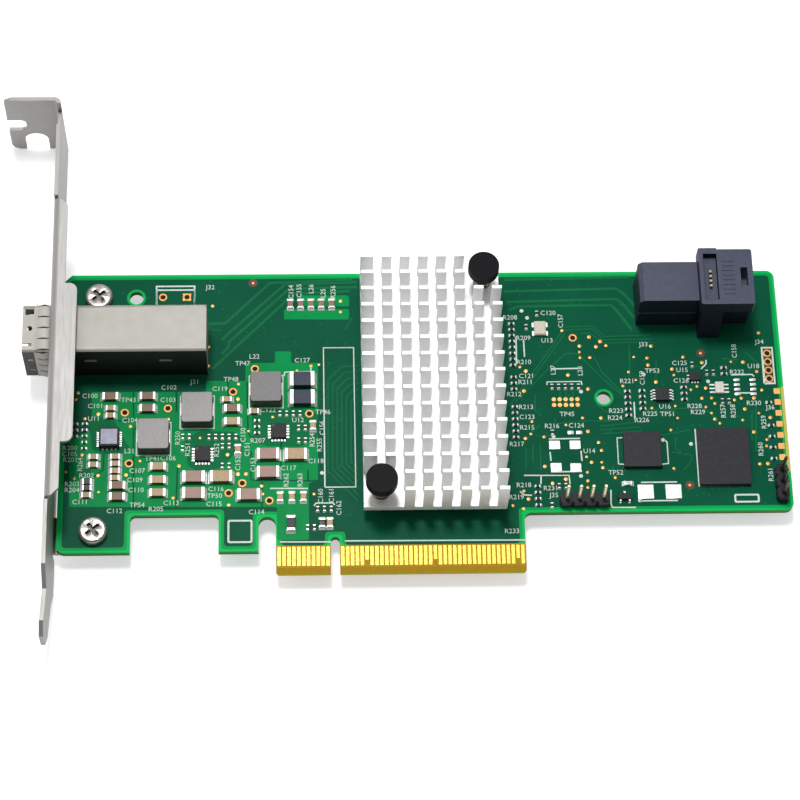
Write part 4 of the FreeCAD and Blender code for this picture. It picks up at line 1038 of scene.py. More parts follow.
LETTERS = {
    "C": (100, ((90, 396), (95, 406), (169, 387.5), (168, 400), (142, 418.5), (72, 454), (168, 460),
                (130, 469), (177, 471), (130, 480), (136, 490), (79.5, 502), (114.5, 511), (171, 503),
                (256.5, 512), (214, 504), (216, 489), (288.5, 468), (316, 461), (220, 394), (548, 313),
                (526, 376), (268, 410), (527, 417), (574, 425.5), (679.4, 363), (681, 380.6),
                (302.3, 360.3), (302, 365))),
    "R": (200, ((70, 448), (70, 458), (89, 475.5), (72, 484), (72, 490), (156, 509), (257, 416),
                (258, 440.5), (510, 317.5), (521, 338), (524, 362), (525, 382), (514, 389), (526, 407),
                (526, 413), (527, 424), (552, 426), (517, 444), (524, 485), (519, 497), (526, 503),
                (629, 381), (630, 397), (616, 409), (615, 416), (650, 412), (642, 420), (697, 394),
                (697, 406), (698, 412), (754, 403), (560, 488), (737, 372), (512, 531))),
    "U": (11, ((91, 417), (298, 420), (547, 340.5), (587, 451), (682, 370), (665, 406.5), (706, 401),
               (747, 373))),
    "L": (21, ((129, 451), (254.5, 356.5), (128, 455))),
    "J": (31, ((194, 382.5), (210, 288), (643, 345), (759, 342.5), (556, 494), (770, 408))),
    "TP": (41, ((142, 462), (152, 467), (126, 400), (128, 405), (567, 414), (323, 412), (254.5, 361.6),
                (231, 381), (248, 482), (217, 494), (667, 414), (616, 476), (652, 369), (137, 505))),
}
UPRIGHT_LETTERS = {
    "C": (150, ((243, 435), (247, 448), (233, 467), (241, 465), (291, 297), (299, 291), (322, 428),
                (558, 321), (734, 351), (642, 378), (320.5, 496), (331.3, 496), (338.8, 508))),
    "R": (250, ((180, 438), (178, 450), (219, 450), (217, 458), (312, 440), (317, 445), (333, 297),
                (723, 411), (733, 411), (766, 422), (763, 449), (773, 475), (286, 480), (300, 480),
                (75, 468), (78, 468))),
    "L": (25, ((323, 295), (311, 289), (553, 370), (580, 371))),
}
LETTER_STEPS = 2

# How words keep clear: the strip behind a part for each millimetre of its height, the gap round a word,
# the steps in millimetres that a word may move aside, shortest first, and the nodes in no word's way
WORD_CLEARANCE = 0.4
WORD_GAP = 0.1
WORD_STEPS = sorted(((x * 0.5, y * 0.4) for x in range(-5, 6) for y in range(-4, 5)),
                    key=lambda step: math.hypot(*step))
NODES_OUT_OF_THE_WAY = ("circuit_board", "edge_contacts_front", "edge_contacts_back", "bracket")

# Vias hidden under the mask, strewn over areas in pixels, with how many in each
SCATTER_SEED = 7
SCATTER_AREAS = (((200, 275), (352, 345), 46), ((510, 275), (625, 470), 46), ((625, 335), (775, 505), 60),
                 ((320, 340), (355, 520), 20), ((60, 290), (200, 300), 12))


# Pieces

def sizes_of(context):
    """The card's sizes in millimetres."""
    group = context.scene.card_sizes
    return SimpleNamespace(**{name: getattr(group, name) / MM for name in CardSizes.__annotations__})


def colours_of(context):
    """The card's colours, linear."""
    return context.scene.card_colours


def plane_outline(margin):
    """The board's outline without its contact zone, drawn in by a margin."""
    left, right = BOARD_LOW.x + margin, BOARD_HIGH.x - margin
    top, tab = BOARD_HIGH.y - margin, LEFT_LOWER_EDGE + margin
    wide_left, wide_right, wide_top = WIDE_CUT[0] - margin, WIDE_CUT[1] + margin, WIDE_CUT[2] + margin
    narrow_left, narrow_right = NARROW_CUT[0] - margin, NARROW_CUT[1] + margin
    narrow_top = NARROW_CUT[2] + margin
    notch, notch_top = NOTCH[0] + margin, NOTCH[1] + margin
    foot = CONTACT_ZONE_TOP
    side = TONGUE_RIGHT - margin
    step = RIGHT_LOWER_EDGE + margin
    return [(left, tab), (wide_left, tab), (wide_left, wide_top), (wide_right, wide_top), (wide_right, tab),
            (narrow_left, tab), (narrow_left, narrow_top), (narrow_right, narrow_top), (narrow_right, foot),
            (-notch, foot), (-notch, notch_top), (notch, notch_top), (notch, foot), (side, foot),
            (side, step), (right, step), (right, top), (left, top)]


def plane_holes(margin):
    """The rings kept clear of copper round the board's plain and screw holes."""
    inner = PLANE_MARGIN - margin
    return [arc(place, PLAIN_HOLE_RING - inner / 2, count=28) for place in PLAIN_HOLES] + [
        arc(place, SCREW_RING - inner / 2, count=28) for place in SCREW_PLACES]


def bus_lines():
    """The bus under the label place: nested bends that open towards the heat sink."""
    lines = []
    for index in range(BUS["count"]):
        x = BUS["left"] + BUS["step"] * index
        top, turn = BUS["top"] + BUS["drop"] * index, BUS["turn"] - BUS["ease"] * index
        foot = BUS["foot"] - BUS["ease"] * index
        lines.append(((BUS["right"], top - 1), (x + turn, top), (x, top + turn), (x, foot),
                      (BUS["right"], foot + BUS["right"] - x)))
    return lines


def laid(piece, mask):
    """A layer of the board in its mask."""
    return handed_over(piece, [mask])


def covered_via_places():
    """Vias under the mask, strewn over some areas but clear of the holes."""
    scatter = random.Random(SCATTER_SEED)
    places = []
    for low, high, count in SCATTER_AREAS:
        places += [spot((scatter.uniform(low[0], high[0]), scatter.uniform(low[1], high[1])))
                   for _ in range(count)]
    reach = PLAIN_HOLE_RING + COVERED_VIA_CLEARANCE
    return [place for place in places
            if all(math.dist(place, hole) > reach for hole in PLAIN_HOLES + SCREW_PLACES)]


class CARD_OT_board(bpy.types.Operator):
    """Finishes the laminate and adds the copper that shows through the solder mask"""
    bl_idname = "card.board"
    bl_label = "Circuit board"

    def execute(self, context):
        sizes, colours = sizes_of(context), colours_of(context)
        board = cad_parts["circuit_board"]
        board.data.materials.clear()
        board.data.materials.append(masked_laminate(colours))
        plane = solder_mask("masked_copper_plane", colours.mask_plane)
        pour = solder_mask("masked_copper_pour", colours.mask_pour)
        trace = solder_mask("masked_copper_trace", colours.mask_trace)
        band = solder_mask("thin_masked_rim", colours.mask_band)
        back_face = BOARD_LOW.z
        for margin, height, name, mask in ((RIM_MARGIN, BAND_TOP, "rim_band", band),
                                           (PLANE_MARGIN, PLANE_TOP, "copper_plane", plane)):
            outlines = [soft_cornered(plane_outline(margin), CORNER_ROUND)] + plane_holes(margin)
            laid(flat_plates("front_" + name, outlines, height), mask)
            laid(flat_plates("back_" + name, outlines, back_face, back_face - height), mask)
        pours = [flat_plates("pour", [soft_cornered(spots(points), POUR_ROUND)], POUR_TOP)
                 for points in (POUR_OUTLINE,) + SMALL_POURS]
        laid(joined(pours, "power_pours"), pour)
        laid(strips("pour_gaps", [spots(line) for line in POUR_GAPS], POUR_GAP_WIDTH, GAP_TOP), plane)
        patches = [flat_plates("patch", [soft_cornered(spots(points), PATCH_ROUND)], GAP_TOP)
                   for points in DARK_PATCHES]
        laid(joined(patches, "pour_patches"), solder_mask("masked_bare_patch", colours.mask_patch))
        for name, lines, width in (("pair_traces", PAIR_TRACES, sizes.pair_width),
                                   ("thin_traces", TRACES + tuple(bus_lines()), sizes.trace_width)):
            laid(strips(name, [spots(line) for line in lines], width, TRACE_TOP), trace)
        dome = lathe("dome", COVERED_VIA, 10)
        laid(copies(dome, at(covered_via_places()), "covered_vias"), trace)
        return {"FINISHED"}


def lead_row(low, high, side, count, pitch, size, out):
    """A row of pads along one side of a part, reaching out from under it."""
    middle, half = (low + high) / 2, (high - low) / 2
    row = []
    for index in range(count):
        along = (index - (count - 1) / 2) * pitch
        if side == "front":
            row.append(oblong((middle.x + along, middle.y - half.y - out), size[1], size[0], LEAD_ROUND))
        else:
            sign = -1 if side == "left" else 1
            row.append(oblong((middle.x + sign * (half.x + out), middle.y + along), *size, LEAD_ROUND))
    return row


def add_vias(radius, gold):
    """Adds the gold vias on both faces, each worn to its own width."""
    worn = random.Random(VIA_SEED)
    places = [(place, worn.uniform(*VIA_SPREAD)) for place in spots(VIAS) + list(FIDUCIALS)]
    for name, face, way in (("via", 0.0, 1), ("back_via", BOARD_LOW.z, -1)):
        via = lathe(name, [(radius * share, way * height) for share, height in VIA], 14)
        spread_places = [((*place, face), (spread, spread, 1.0), 0.0) for place, spread in places]
        handed_over(copies(via, spread_places, name + "s"), [gold])


def add_ringed_holes(inner, outer, gold):
    """Adds the gold rings of the test and spare holes, with the dark of the holes inside them."""
    places = at(list(RING_HOLES) + column(FAR_ROW) + list(SPARE_HOLES))
    profile = [(inner + wider, height) for wider, height in RING_INSIDE]
    profile += [(outer + wider, height) for wider, height in RING_OUTSIDE]
    ring = lathe("ring", profile + [(inner, 0.0)], 24)
    handed_over(copies(ring, places, "test_rings"), [gold])
    disc = lathe("disc", ((inner, 0.0), (inner, HOLE_BOTTOM_TOP), (0.0, HOLE_BOTTOM_TOP)), 20)
    handed_over(copies(disc, places, "test_hole_bottoms"), [hole_black()])


class CARD_OT_pads(bpy.types.Operator):
    """Adds the bare gold and tinned pads, vias, ringed holes and the bare edge of the board"""
    bl_idname = "card.pads"
    bl_label = "Pads and vias"

    def execute(self, context):
        sizes, colours = sizes_of(context), colours_of(context)
        gold = plated_gold("thin_gold", colours.via, 0.42)
        tin = solder_tin(colours)
        add_vias(sizes.via_radius, gold)
        marks = [arc(place, FIDUCIAL_CLEAR, count=24) for place in FIDUCIALS]
        marks += [arc(place, sizes.via_radius * FIDUCIAL_MIDDLE, count=16) for place in FIDUCIALS]
        laid(flat_plates("aiming_mark_rings", marks, GAP_TOP),
             bare_laminate("browned_glass_epoxy", colours.bare_ring))
        ring_gold = plated_gold("ring_gold", colours.ring, 0.45)
        add_ringed_holes(sizes.ring_hole, sizes.ring_radius, ring_gold)
        pads = [oblong(place, *GOLD_PAD) for place in column(GOLD_PAD_ROW)]
        rows = PROBE_ROWS
        pads += [arc((rows["first"] + rows["pitch"] * index, height), rows["radius"], count=12)
                 for height in rows["heights"] for index in range(rows["count"])]
        pads = softened(flat_plates("gold_pads", pads, PAD_TOP), GOLD_PAD_EDGE, 1)
        handed_over(pads, [gold])
        pads = [oblong(SPARE_HOLES[1], *SQUARE_RING)]
        handed_over(flat_plates("square_ring_pad", pads, GAP_TOP), [ring_gold])
        bare = [oblong(place, *size, BARE_PAD_ROUND) for place, size in BARE_PADS]
        bare += [oblong(place, *EMPTY_CHIP_PAD) for row in EMPTY_CHIP for place in column(row)]
        bare = softened(flat_plates("bare_tinned_pads", bare, TINNED_TOP), TINNED_EDGE)
        handed_over(bare, [tin])
        pads = []
        for node, rows in LEAD_ROWS.items():
            for low, high in solid_boxes(node):
                for row in rows:
                    pads += lead_row(low, high, *row)
        pads = softened(flat_plates("chip_lead_pads", pads, LEAD_TOP), TINNED_EDGE, 1)
        handed_over(pads, [tin])
        laid(flat_plates("bare_edge_strip", [EDGE_STRIP], PLANE_TOP),
             bare_laminate("bare_glass_epoxy", colours.laminate_strip))
        return {"FINISHED"}


def box_round(place, reach):
    """The sides of a flat box round a place: left, right, low and high."""
    return place[0] - reach[0], place[0] + reach[0], place[1] - reach[1], place[1] + reach[1]


def taken_boxes(sizes):
    """The flat boxes that no designator may cover: the parts with a strip behind them, pads and holes."""
    taken = []
    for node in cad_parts:
        if node not in NODES_OUT_OF_THE_WAY:
            taken += [(low.x, high.x, low.y, high.y + WORD_CLEARANCE * max(high.z, 0.0))
                      for low, high in solid_boxes(node)]
    rings = RING_HOLES + SPARE_HOLES + FIDUCIALS + tuple(column(FAR_ROW))
    for places, radius in ((spots(VIAS), sizes.via_radius), (rings, sizes.ring_radius),
                           (PLAIN_HOLES, PLAIN_HOLE_RING)):
        taken += [box_round(place, (radius, radius)) for place in places]
    empty_pads = tuple((place, EMPTY_CHIP_PAD) for row in EMPTY_CHIP for place in column(row))
    taken += [box_round(place, (size[0] / 2, size[1] / 2)) for place, size in BARE_PADS + empty_pads]
    pads = column(GOLD_PAD_ROW)
    taken.append((GOLD_PAD_ROW["x"] - GOLD_PAD[0] / 2, BOARD_HIGH.x, pads[-1][1], pads[0][1]))
    taken.append((TONGUE_RIGHT, BOARD_HIGH.x, RIGHT_LOWER_EDGE, RIGHT_LOWER_EDGE + PLANE_MARGIN))
    return taken


def clear_place(place, reach, taken):
    """The nearest place to a wanted one where a word covers nothing, or None."""
    for dx, dy in WORD_STEPS:
        tried = (place[0] + dx, place[1] + dy)
        left, right, low, high = box_round(tried, reach)
        if all(right < other[0] or left > other[1] or high < other[2] or low > other[3] for other in taken):
            return tried
    return None


def word_mesh(text, height):
    """A word as thin as ink, with its middle at the origin."""
    bpy.ops.object.select_all(action="DESELECT")
    bpy.ops.object.text_add()
    word = bpy.context.object.data
    word.body = text
    word.size = height * MM
    word.align_x = "CENTER"
    word.align_y = "CENTER"
    word.resolution_u = LETTER_STEPS
    word.extrude = (INK_TOP - INK_LOW) / 2 * MM
    bpy.ops.object.convert(target="MESH")
    bpy.ops.object.origin_set(type="ORIGIN_GEOMETRY", center="BOUNDS")
    return bpy.context.object


def designators(sizes):
    """The words of the legend, each at the nearest clear place, and none where there is no such place."""
    taken = taken_boxes(sizes)
    made = []
    for table, turn in ((LETTERS, 0.0), (UPRIGHT_LETTERS, math.pi / 2)):
        for letter, (first, pixels) in table.items():
            for number, place in enumerate(spots(pixels), first):
                word = word_mesh(f"{letter}{number}", sizes.letter_height)
                half = word.dimensions / 2 / MM
                reach = (half.x + WORD_GAP, half.y + WORD_GAP)
                reach = reach if turn == 0 else reach[::-1]
                clear = clear_place(place, reach, taken)
                if clear is None:
                    bpy.data.objects.remove(word)
                    continue
                taken.append(box_round(clear, reach))
                word.rotation_euler.z = turn
                word.location = Vector((*clear, (INK_TOP + INK_LOW) / 2)) * MM
                made.append(word)
    return closed(joined(made, "printed_designators"))


class CARD_OT_legend(bpy.types.Operator):
    """Prints the white lines and the plain designators"""
    bl_idname = "card.legend"
    bl_label = "Printed legend"

    def execute(self, context):
        sizes, colours = sizes_of(context), colours_of(context)
        lines = [spots(line) for line in INK_LINES] + [frame_line(*LABEL_BOX)]
        lines += [frame_line(low, high, INDUCTOR_INK_GAP) for low, high in solid_boxes("power_inductors")]
        bold = [frame_line(low, high) for low, high in BOLD_INK_BOXES]
        dots = [arc(place, INK_DOT_RADIUS, count=12) for place in spots(INK_DOTS)]
        badges = []
        for low, high in PLAIN_BADGES:
            (left, top), (right, bottom) = spot(low), spot(high)
            centre = ((left + right) / 2, (top + bottom) / 2)
            for inset, corner in zip((0.0, 2 * BADGE_LINE), BADGE_ROUNDS):
                badges.append(oblong(centre, right - left - inset, top - bottom - inset, corner))
        ink = legend_ink(colours)
        for piece in (strips("printed_lines", lines, sizes.ink_width, INK_TOP, INK_LOW),
                      strips("printed_frame_lines", bold, BOLD_INK_WIDTH, INK_TOP, INK_LOW),
                      flat_plates("printed_dots", dots, INK_TOP),
                      flat_plates("printed_frames", badges, INK_TOP), designators(sizes)):
            handed_over(piece, [ink])
        return {"FINISHED"}


class CARD_OT_contacts(bpy.types.Operator):
    """Finishes the gold contacts on both faces of the card edge"""
    bl_idname = "card.contacts"
    bl_label = "Edge contacts"

    def execute(self, context):
        gold = plated_gold("hard_gold", colours_of(context).contact, 0.34)
        for node in ("edge_contacts_front", "edge_contacts_back"):
            dressed(node, gold)
        return {"FINISHED"}


class CARD_OT_bracket(bpy.types.Operator):
    """Finishes the folded bracket"""
    bl_idname = "card.bracket"
    bl_label = "Bracket"

    def execute(self, context):
        dressed("bracket", zinc_steel(colours_of(context)), sizes_of(context).sheet_edge)
        return {"FINISHED"}


def screw_profile(low, high, radius):
    """A pan-head screw as radius and height, from its tip to the middle of its head."""
    seat = high - SCREW_HEAD_HEIGHT
    bend_low, bend_in = seat + SCREW_HEAD_RIM, radius - SCREW_HEAD_FLAT
    bend = [(SCREW_HEAD_FLAT + bend_in * math.cos(angle), bend_low + (high - bend_low) * math.sin(angle))
            for angle in map(math.radians, SCREW_BEND)]
    return [(0.0, low), (SCREW_SHANK - SCREW_TIP, low), (SCREW_SHANK, low + SCREW_TIP), (SCREW_SHANK, seat),
            (radius - SCREW_SEAT_EDGE, seat), (radius, seat + SCREW_SEAT_EDGE)] + bend + [(0.0, high)]


class CARD_OT_screws(bpy.types.Operator):
    """Models the two pan-head screws with their cross recesses"""
    bl_idname = "card.screws"
    bl_label = "Bracket screws"

    def execute(self, context):
        colours = colours_of(context)
        bright = nickel_screw("nickel_plated_screw", colours.screw, 0.24)
        # The recess takes a darker copy of the nickel: painted shade
        recess_shade = nickel_screw("dull_screw_recess", colours.recess, 0.5)
        arm, half = RECESS_REACH, RECESS_WIDTH / 2
        made = []
        for low, high in solid_boxes("bracket_screws"):
            middle = (low + high) / 2
            screw = lathe("screw", screw_profile(low.z, high.z, (high.x - low.x) / 2), 48)
            screw.data.materials.append(bright)
            floor, above = high.z - RECESS_DEPTH, high.z + RECESS_ABOVE
            arms = [block((-x, -y, floor), (x, y, above)) for x, y in ((arm, half), (half, arm))]
            recess = closed(joined(arms, "recess"))
            recess.data.materials.append(recess_shade)
            applied(screw, "BOOLEAN", object=recess, operation="DIFFERENCE", solver="EXACT", use_self=True,
                    material_mode="TRANSFER")
            bpy.data.objects.remove(recess)
            screw.location = Vector((middle.x, middle.y, 0)) * MM
            screw.rotation_euler.z = math.radians(RECESS_TURN)
            made.append(settled(screw))
        screws = softened(joined(made, "bracket_screws_finished"), SCREW_EDGE, 2, SCREW_SHARP)
        handed_over(screws, [bright, recess_shade], ["bracket_screws"])
        return {"FINISHED"}


class CARD_OT_external_port(bpy.types.Operator):
    """Finishes the external port's cage with its tabs, spring collar, receptacle and contacts"""
    bl_idname = "card.external_port"
    bl_label = "External port"

    def execute(self, context):
        colours = colours_of(context)
        sheet = nickel_sheet("nickel_plated_sheet", colours.cage)
        cage = dressed("external_port_cage", sheet, form=folded)
        # The cage's front faces get the near-black nickel: painted shade
        with_painted_side_shade(cage, nickel_sheet("dull_nickel_side", colours.cage_side), front_only=True)
        front = min(low.y for low, high in solid_boxes("external_port_cage"))
        tab_low, tab_high = CAGE_TAB_HEIGHTS
        tabs = [block((left, front - CAGE_TAB_REACH, tab_low), (left + CAGE_TAB_WIDTH, front, tab_high))
                for left in CAGE_TAB_LEFTS]
        handed_over(softened(joined(tabs, "cage_side_tabs"), CAGE_TAB_EDGE), [sheet])
        dressed("external_port_spring_collar", sheet)
        dressed("external_port_receptacle", moulded("black_liquid_crystal_polymer", colours.receptacle, 0.45))
        dressed("external_port_contacts", plated_gold("contact_spring_gold", colours.contact, 0.34))
        return {"FINISHED"}


class CARD_OT_heat_sink(bpy.types.Operator):
    """Finishes the cross-cut heat sink, the pad and the controller below it"""
    bl_idname = "card.heat_sink"
    bl_label = "Heat sink"

    def execute(self, context):
        colours = colours_of(context)
        dressed("heat_sink", anodised_aluminium(colours), sizes_of(context).fin_edge)
        dressed("thermal_pad", moulded("silicone_pad", colours.pad, 0.8))
        dressed("controller_chip", moulded("controller_epoxy", colours.chip, 0.5))
        return {"FINISHED"}


def wound_spring(low, high):
    """A coil of wire that fills a box."""
    middle = (low + high) / 2
    radius = (high.x - low.x) / 2 - SPRING_WIRE
    rise = high.z - low.z - 2 * SPRING_WIRE
    points = []
    for index in range(SPRING_TURNS * SPRING_STEPS + 1):
        angle = math.tau * index / SPRING_STEPS
        points.append((middle.x + radius * math.cos(angle), middle.y + radius * math.sin(angle),
                       low.z + SPRING_WIRE + rise * index / (SPRING_TURNS * SPRING_STEPS)))
    return closed(drawn("spring", [points], dimensions="3D", bevel_depth=SPRING_WIRE * MM,
                        bevel_resolution=2, use_fill_caps=True))


class CARD_OT_push_pins(bpy.types.Operator):
    """Finishes the push pins and winds their springs"""
    bl_idname = "card.push_pins"
    bl_label = "Push pins"

    def execute(self, context):
        colours = colours_of(context)
        nylon = moulded("black_nylon", colours.pin_black, 0.5, 0.3, gloss=0.1)
        dressed("push_pins", nylon, sharp=PUSH_PIN_SHARP)
        springs = [wound_spring(low, high) for low, high in solid_boxes("push_pin_springs")]
        springs = joined(springs, "push_pin_springs_finished")
        bpy.ops.object.shade_smooth_by_angle(angle=math.radians(SMOOTH))
        brass = plated_gold("spring_brass", colours.spring, 0.35)
        handed_over(springs, [brass], ["push_pin_springs"])
        return {"FINISHED"}


class CARD_OT_internal_port(bpy.types.Operator):
    """Finishes the internal port's housing with its grip ribs, insert and contacts"""
    bl_idname = "card.internal_port"
    bl_label = "Internal port"

    def execute(self, context):
        sizes, colours = sizes_of(context), colours_of(context)
        polymer = moulded("slate_liquid_crystal_polymer", colours.connector, 0.42, gloss=0.5)
        housing = dressed("internal_port_housing", polymer, sizes.mould_edge)
        # The housing's upright faces take a darker copy of the polymer: painted shade
        with_painted_side_shade(housing, moulded("slate_polymer_side", shade(colours.connector, HOOD_SIDE_SHADE), 0.5))
        dressed("internal_port_insert", polymer)
        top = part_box("internal_port_housing")[1][2] / MM
        ribs = [oblong(place, *HOOD_RIB) for place in column(HOOD_RIBS)]
        ribs = flat_plates("hood_grip_ribs", ribs, top + HOOD_RIB_RISE, top - HOOD_RIB_ROOT)
        handed_over(softened(ribs, HOOD_RIB_EDGE, 1), [polymer])
        dressed("internal_port_contacts", plated_gold("port_contact_gold", colours.port_contact, 0.4))
        return {"FINISHED"}


def lidded_module(node, lid, epoxy):
    """The module with a lid set a little in from its moulded rim."""
    piece = node_copy(node, node + "_finished")
    piece.data.materials.append(epoxy)
    piece.data.materials.append(lid)
    top = max(vertex.co.z for vertex in piece.data.vertices)
    bpy.ops.object.mode_set(mode="EDIT")
    bpy.ops.mesh.select_mode(type="FACE")
    bpy.ops.mesh.select_all(action="DESELECT")
    bpy.ops.object.mode_set(mode="OBJECT")
    for face in piece.data.polygons:
        face.select = face.normal.z > TOP_FACING and face.center.z > top - MERGE
    bpy.ops.object.mode_set(mode="EDIT")
    bpy.ops.mesh.inset(thickness=MODULE_RIM * MM)
    bpy.ops.mesh.inset(thickness=MODULE_GROOVE * MM, depth=-MODULE_GROOVE * MM)
    piece.active_material_index = 1
    bpy.ops.object.material_slot_assign()
    bpy.ops.object.mode_set(mode="OBJECT")
    softened(piece, MODULE_GROOVE, 1)
    return handed_over(piece, [epoxy, lid], [node])


class CARD_OT_power_parts(bpy.types.Operator):
    """Finishes the inductors, regulators, module and moulded capacitors"""
    bl_idname = "card.power_parts"
    bl_label = "Power parts"

    def execute(self, context):
        sizes, colours = sizes_of(context), colours_of(context)
        tin = solder_tin(colours)
        inductors = dressed("power_inductors", pressed_powder("lacquered_iron_powder", colours.inductor))
        # The inductors' upright faces take a dark copy of the powder: painted shade
        with_painted_side_shade(inductors, pressed_powder("bare_iron_powder", colours.inductor_painted_shade))
        inductors.data.materials.append(pressed_powder("darker_lacquered_powder", colours.inductor_dark))
        far = max(low.x for low, high in solid_boxes("power_inductors")) * MM
        for face in inductors.data.polygons:
            if face.material_index == 0 and face.center.x > far:
                face.material_index = len(inductors.data.materials) - 1
        dressed("power_inductor_terminals", tin)
        lid = moulded("lavender_coated_lid", colours.module, 0.4)
        epoxy = moulded("regulator_epoxy", colours.chip, 0.5)
        lidded_module("regulator_module", lid, epoxy)
        dressed("regulator_chips", epoxy, sizes.chip_edge)
        blocks = dressed("moulded_capacitors",
                         moulded("moulded_capacitor_epoxy", colours.moulded_capacitor, 0.45))
        # The moulded capacitors' upright faces are painted darker: painted shade
        side = shade(colours.moulded_capacitor, SIDE_SHADE)
        with_painted_side_shade(blocks, moulded("moulded_capacitor_side", side, 0.5))
        dressed("moulded_capacitor_ends", tin)
        return {"FINISHED"}


def fillet():
    """A unit solder fillet that slopes down along X."""
    outline = [(x / MM, z / MM) for x, z in FILLET]
    piece = flat_plates("fillet", [outline], 0.5 / MM, -0.5 / MM)
    piece.rotation_euler.x = math.pi / 2
    settled(piece)
    applied(piece, "BEVEL", width=FILLET_EDGE, segments=2, limit_method="ANGLE",
            angle_limit=math.radians(FILLET_SHARP))
    bpy.ops.object.shade_smooth_by_angle(angle=math.radians(SMOOTH))
    return piece


def fillet_place(middle, half, turn, reach, side):
    """Where a fillet leans on the side of a box that faces some way, with the fillet's size and turn."""
    along_x = abs(math.cos(turn)) > abs(math.sin(turn))
    out, width = (half.x, half.y) if along_x else (half.y, half.x)
    tip = (middle.x + out * math.cos(turn), middle.y + out * math.sin(turn), 0.0)
    size = (reach, 2 * (width + side), 2 * half.z * FILLET_RISE)
    return tip, tuple(value * MM for value in size), turn


def fillet_places():
    """Where each tinned end meets its pad."""
    places = []
    for ends, bodies in PART_ENDS.items():
        middles = [(low + high) / 2 for low, high in solid_boxes(bodies)]
        for low, high in solid_boxes(ends):
            middle, half = (low + high) / 2, (high - low) / 2
            away = middle - min(middles, key=lambda other: (other - middle).length)
            along_x = abs(away.x) > abs(away.y)
            turn = math.atan2(0.0 if along_x else away.y, away.x if along_x else 0.0)
            places.append(fillet_place(middle, half, turn, FILLET_REACH, FILLET_SIDE))
    for node in TINY_NODES:
        for low, high in solid_boxes(node):
            middle, half = (low + high) / 2, (high - low) / 2
            for turn in (0.0, math.pi) if half.x > half.y else (math.pi / 2, -math.pi / 2):
                places.append(fillet_place(middle, half, turn, TINY_REACH, TINY_SIDE))
    return places


def tiny_parts(node, body_material, end_material):
    """A node's tiny chip parts, each a body between two tinned ends, modelled once and copied."""
    boxes = solid_boxes(node)
    size = boxes[0][1] - boxes[0][0]
    long, wide, tall = max(size.x, size.y) / 2, min(size.x, size.y) / 2, size.z
    inset = TINY_INSET
    body = block((inset - long, inset - wide, inset), (long - inset, wide - inset, tall - inset))
    body.data.materials.append(body_material)
    ends = [block((left, -wide, 0.0), (left + TINY_END, wide, tall)) for left in (-long, long - TINY_END)]
    for end in ends:
        end.data.materials.append(end_material)
    master = softened(joined([body] + ends, "tiny_part"), TINY_EDGE, 1)
    places = []
    for low, high in boxes:
        middle, span = (low + high) / 2, high - low
        places.append(((middle.x, middle.y, low.z), ONE, 0.0 if span.x > span.y else math.pi / 2))
    return copies(master, places, node + "_finished")


def capacitor_kind(node, place):
    """The ceramic of the capacitor at a place."""
    usual, others = CAPACITOR_KINDS[node]
    for kind, low, high in others:
        if low[0] < place.x < high[0] and low[1] < place.y < high[1]:
            return kind
    return usual


def add_capacitors(node, ceramics):
    """Adds a node's capacitors, each in its own ceramic, with painted shade on their upright sides."""
    kinds = list(ceramics)
    piece = dressed(node, ceramics[kinds[0]])
    for kind in kinds[1:]:
        piece.data.materials.append(ceramics[kind])
    boxes = solid_boxes(node)
    for face in piece.data.polygons:
        centre = face.center / MM
        for low, high in boxes:
            if low.x <= centre.x <= high.x and low.y <= centre.y <= high.y:
                kind = capacitor_kind(node, (low + high) / 2)
                face.material_index = kinds.index(kind if face.normal.z > TOP_FACING else kind + "_side")


class CARD_OT_chip_parts(bpy.types.Operator):
    """Finishes the chip capacitors, resistors and fuse, and models the tiny parts and solder mounds"""
    bl_idname = "card.chip_parts"
    bl_label = "Chip parts"

    def execute(self, context):
        colours = colours_of(context)
        tin = solder_tin(colours)
        glaze = moulded("resistor_glaze", colours.resistor, 0.3)
        ceramics = {}
        for kind in ("pink", "tan", "brown"):
            colour = getattr(colours, "ceramic_" + kind)
            ceramics[kind] = fired_ceramic(kind + "_fired_ceramic", colour)
            # Each ceramic has a darker copy, kept under its kind with _side, for the upright faces: painted
            # shade
            ceramics[kind + "_side"] = fired_ceramic(kind + "_ceramic_side", shade(colour, SIDE_SHADE))
        ceramics["black"] = ceramics["black_side"] = glaze
        for node in CAPACITOR_KINDS:
            add_capacitors(node, ceramics)
        for node in CHIP_PART_ENDS:
            dressed(node, tin)
        dressed("chip_resistors", glaze)
        dressed("fuse", moulded("fuse_glaze", colours.fuse, 0.35))
        tiny = tiny_parts("tiny_resistors", glaze, tin)
        handed_over(tiny, [], ["tiny_resistors"])
        # The tiny capacitors' bodies take the brown ceramic's painted-shade copy all over
        tiny = tiny_parts("tiny_capacitors", ceramics["brown_side"], tin)
        handed_over(tiny, [], ["tiny_capacitors"])
        handed_over(copies(fillet(), fillet_places(), "solder_fillets"), [tin])
        return {"FINISHED"}


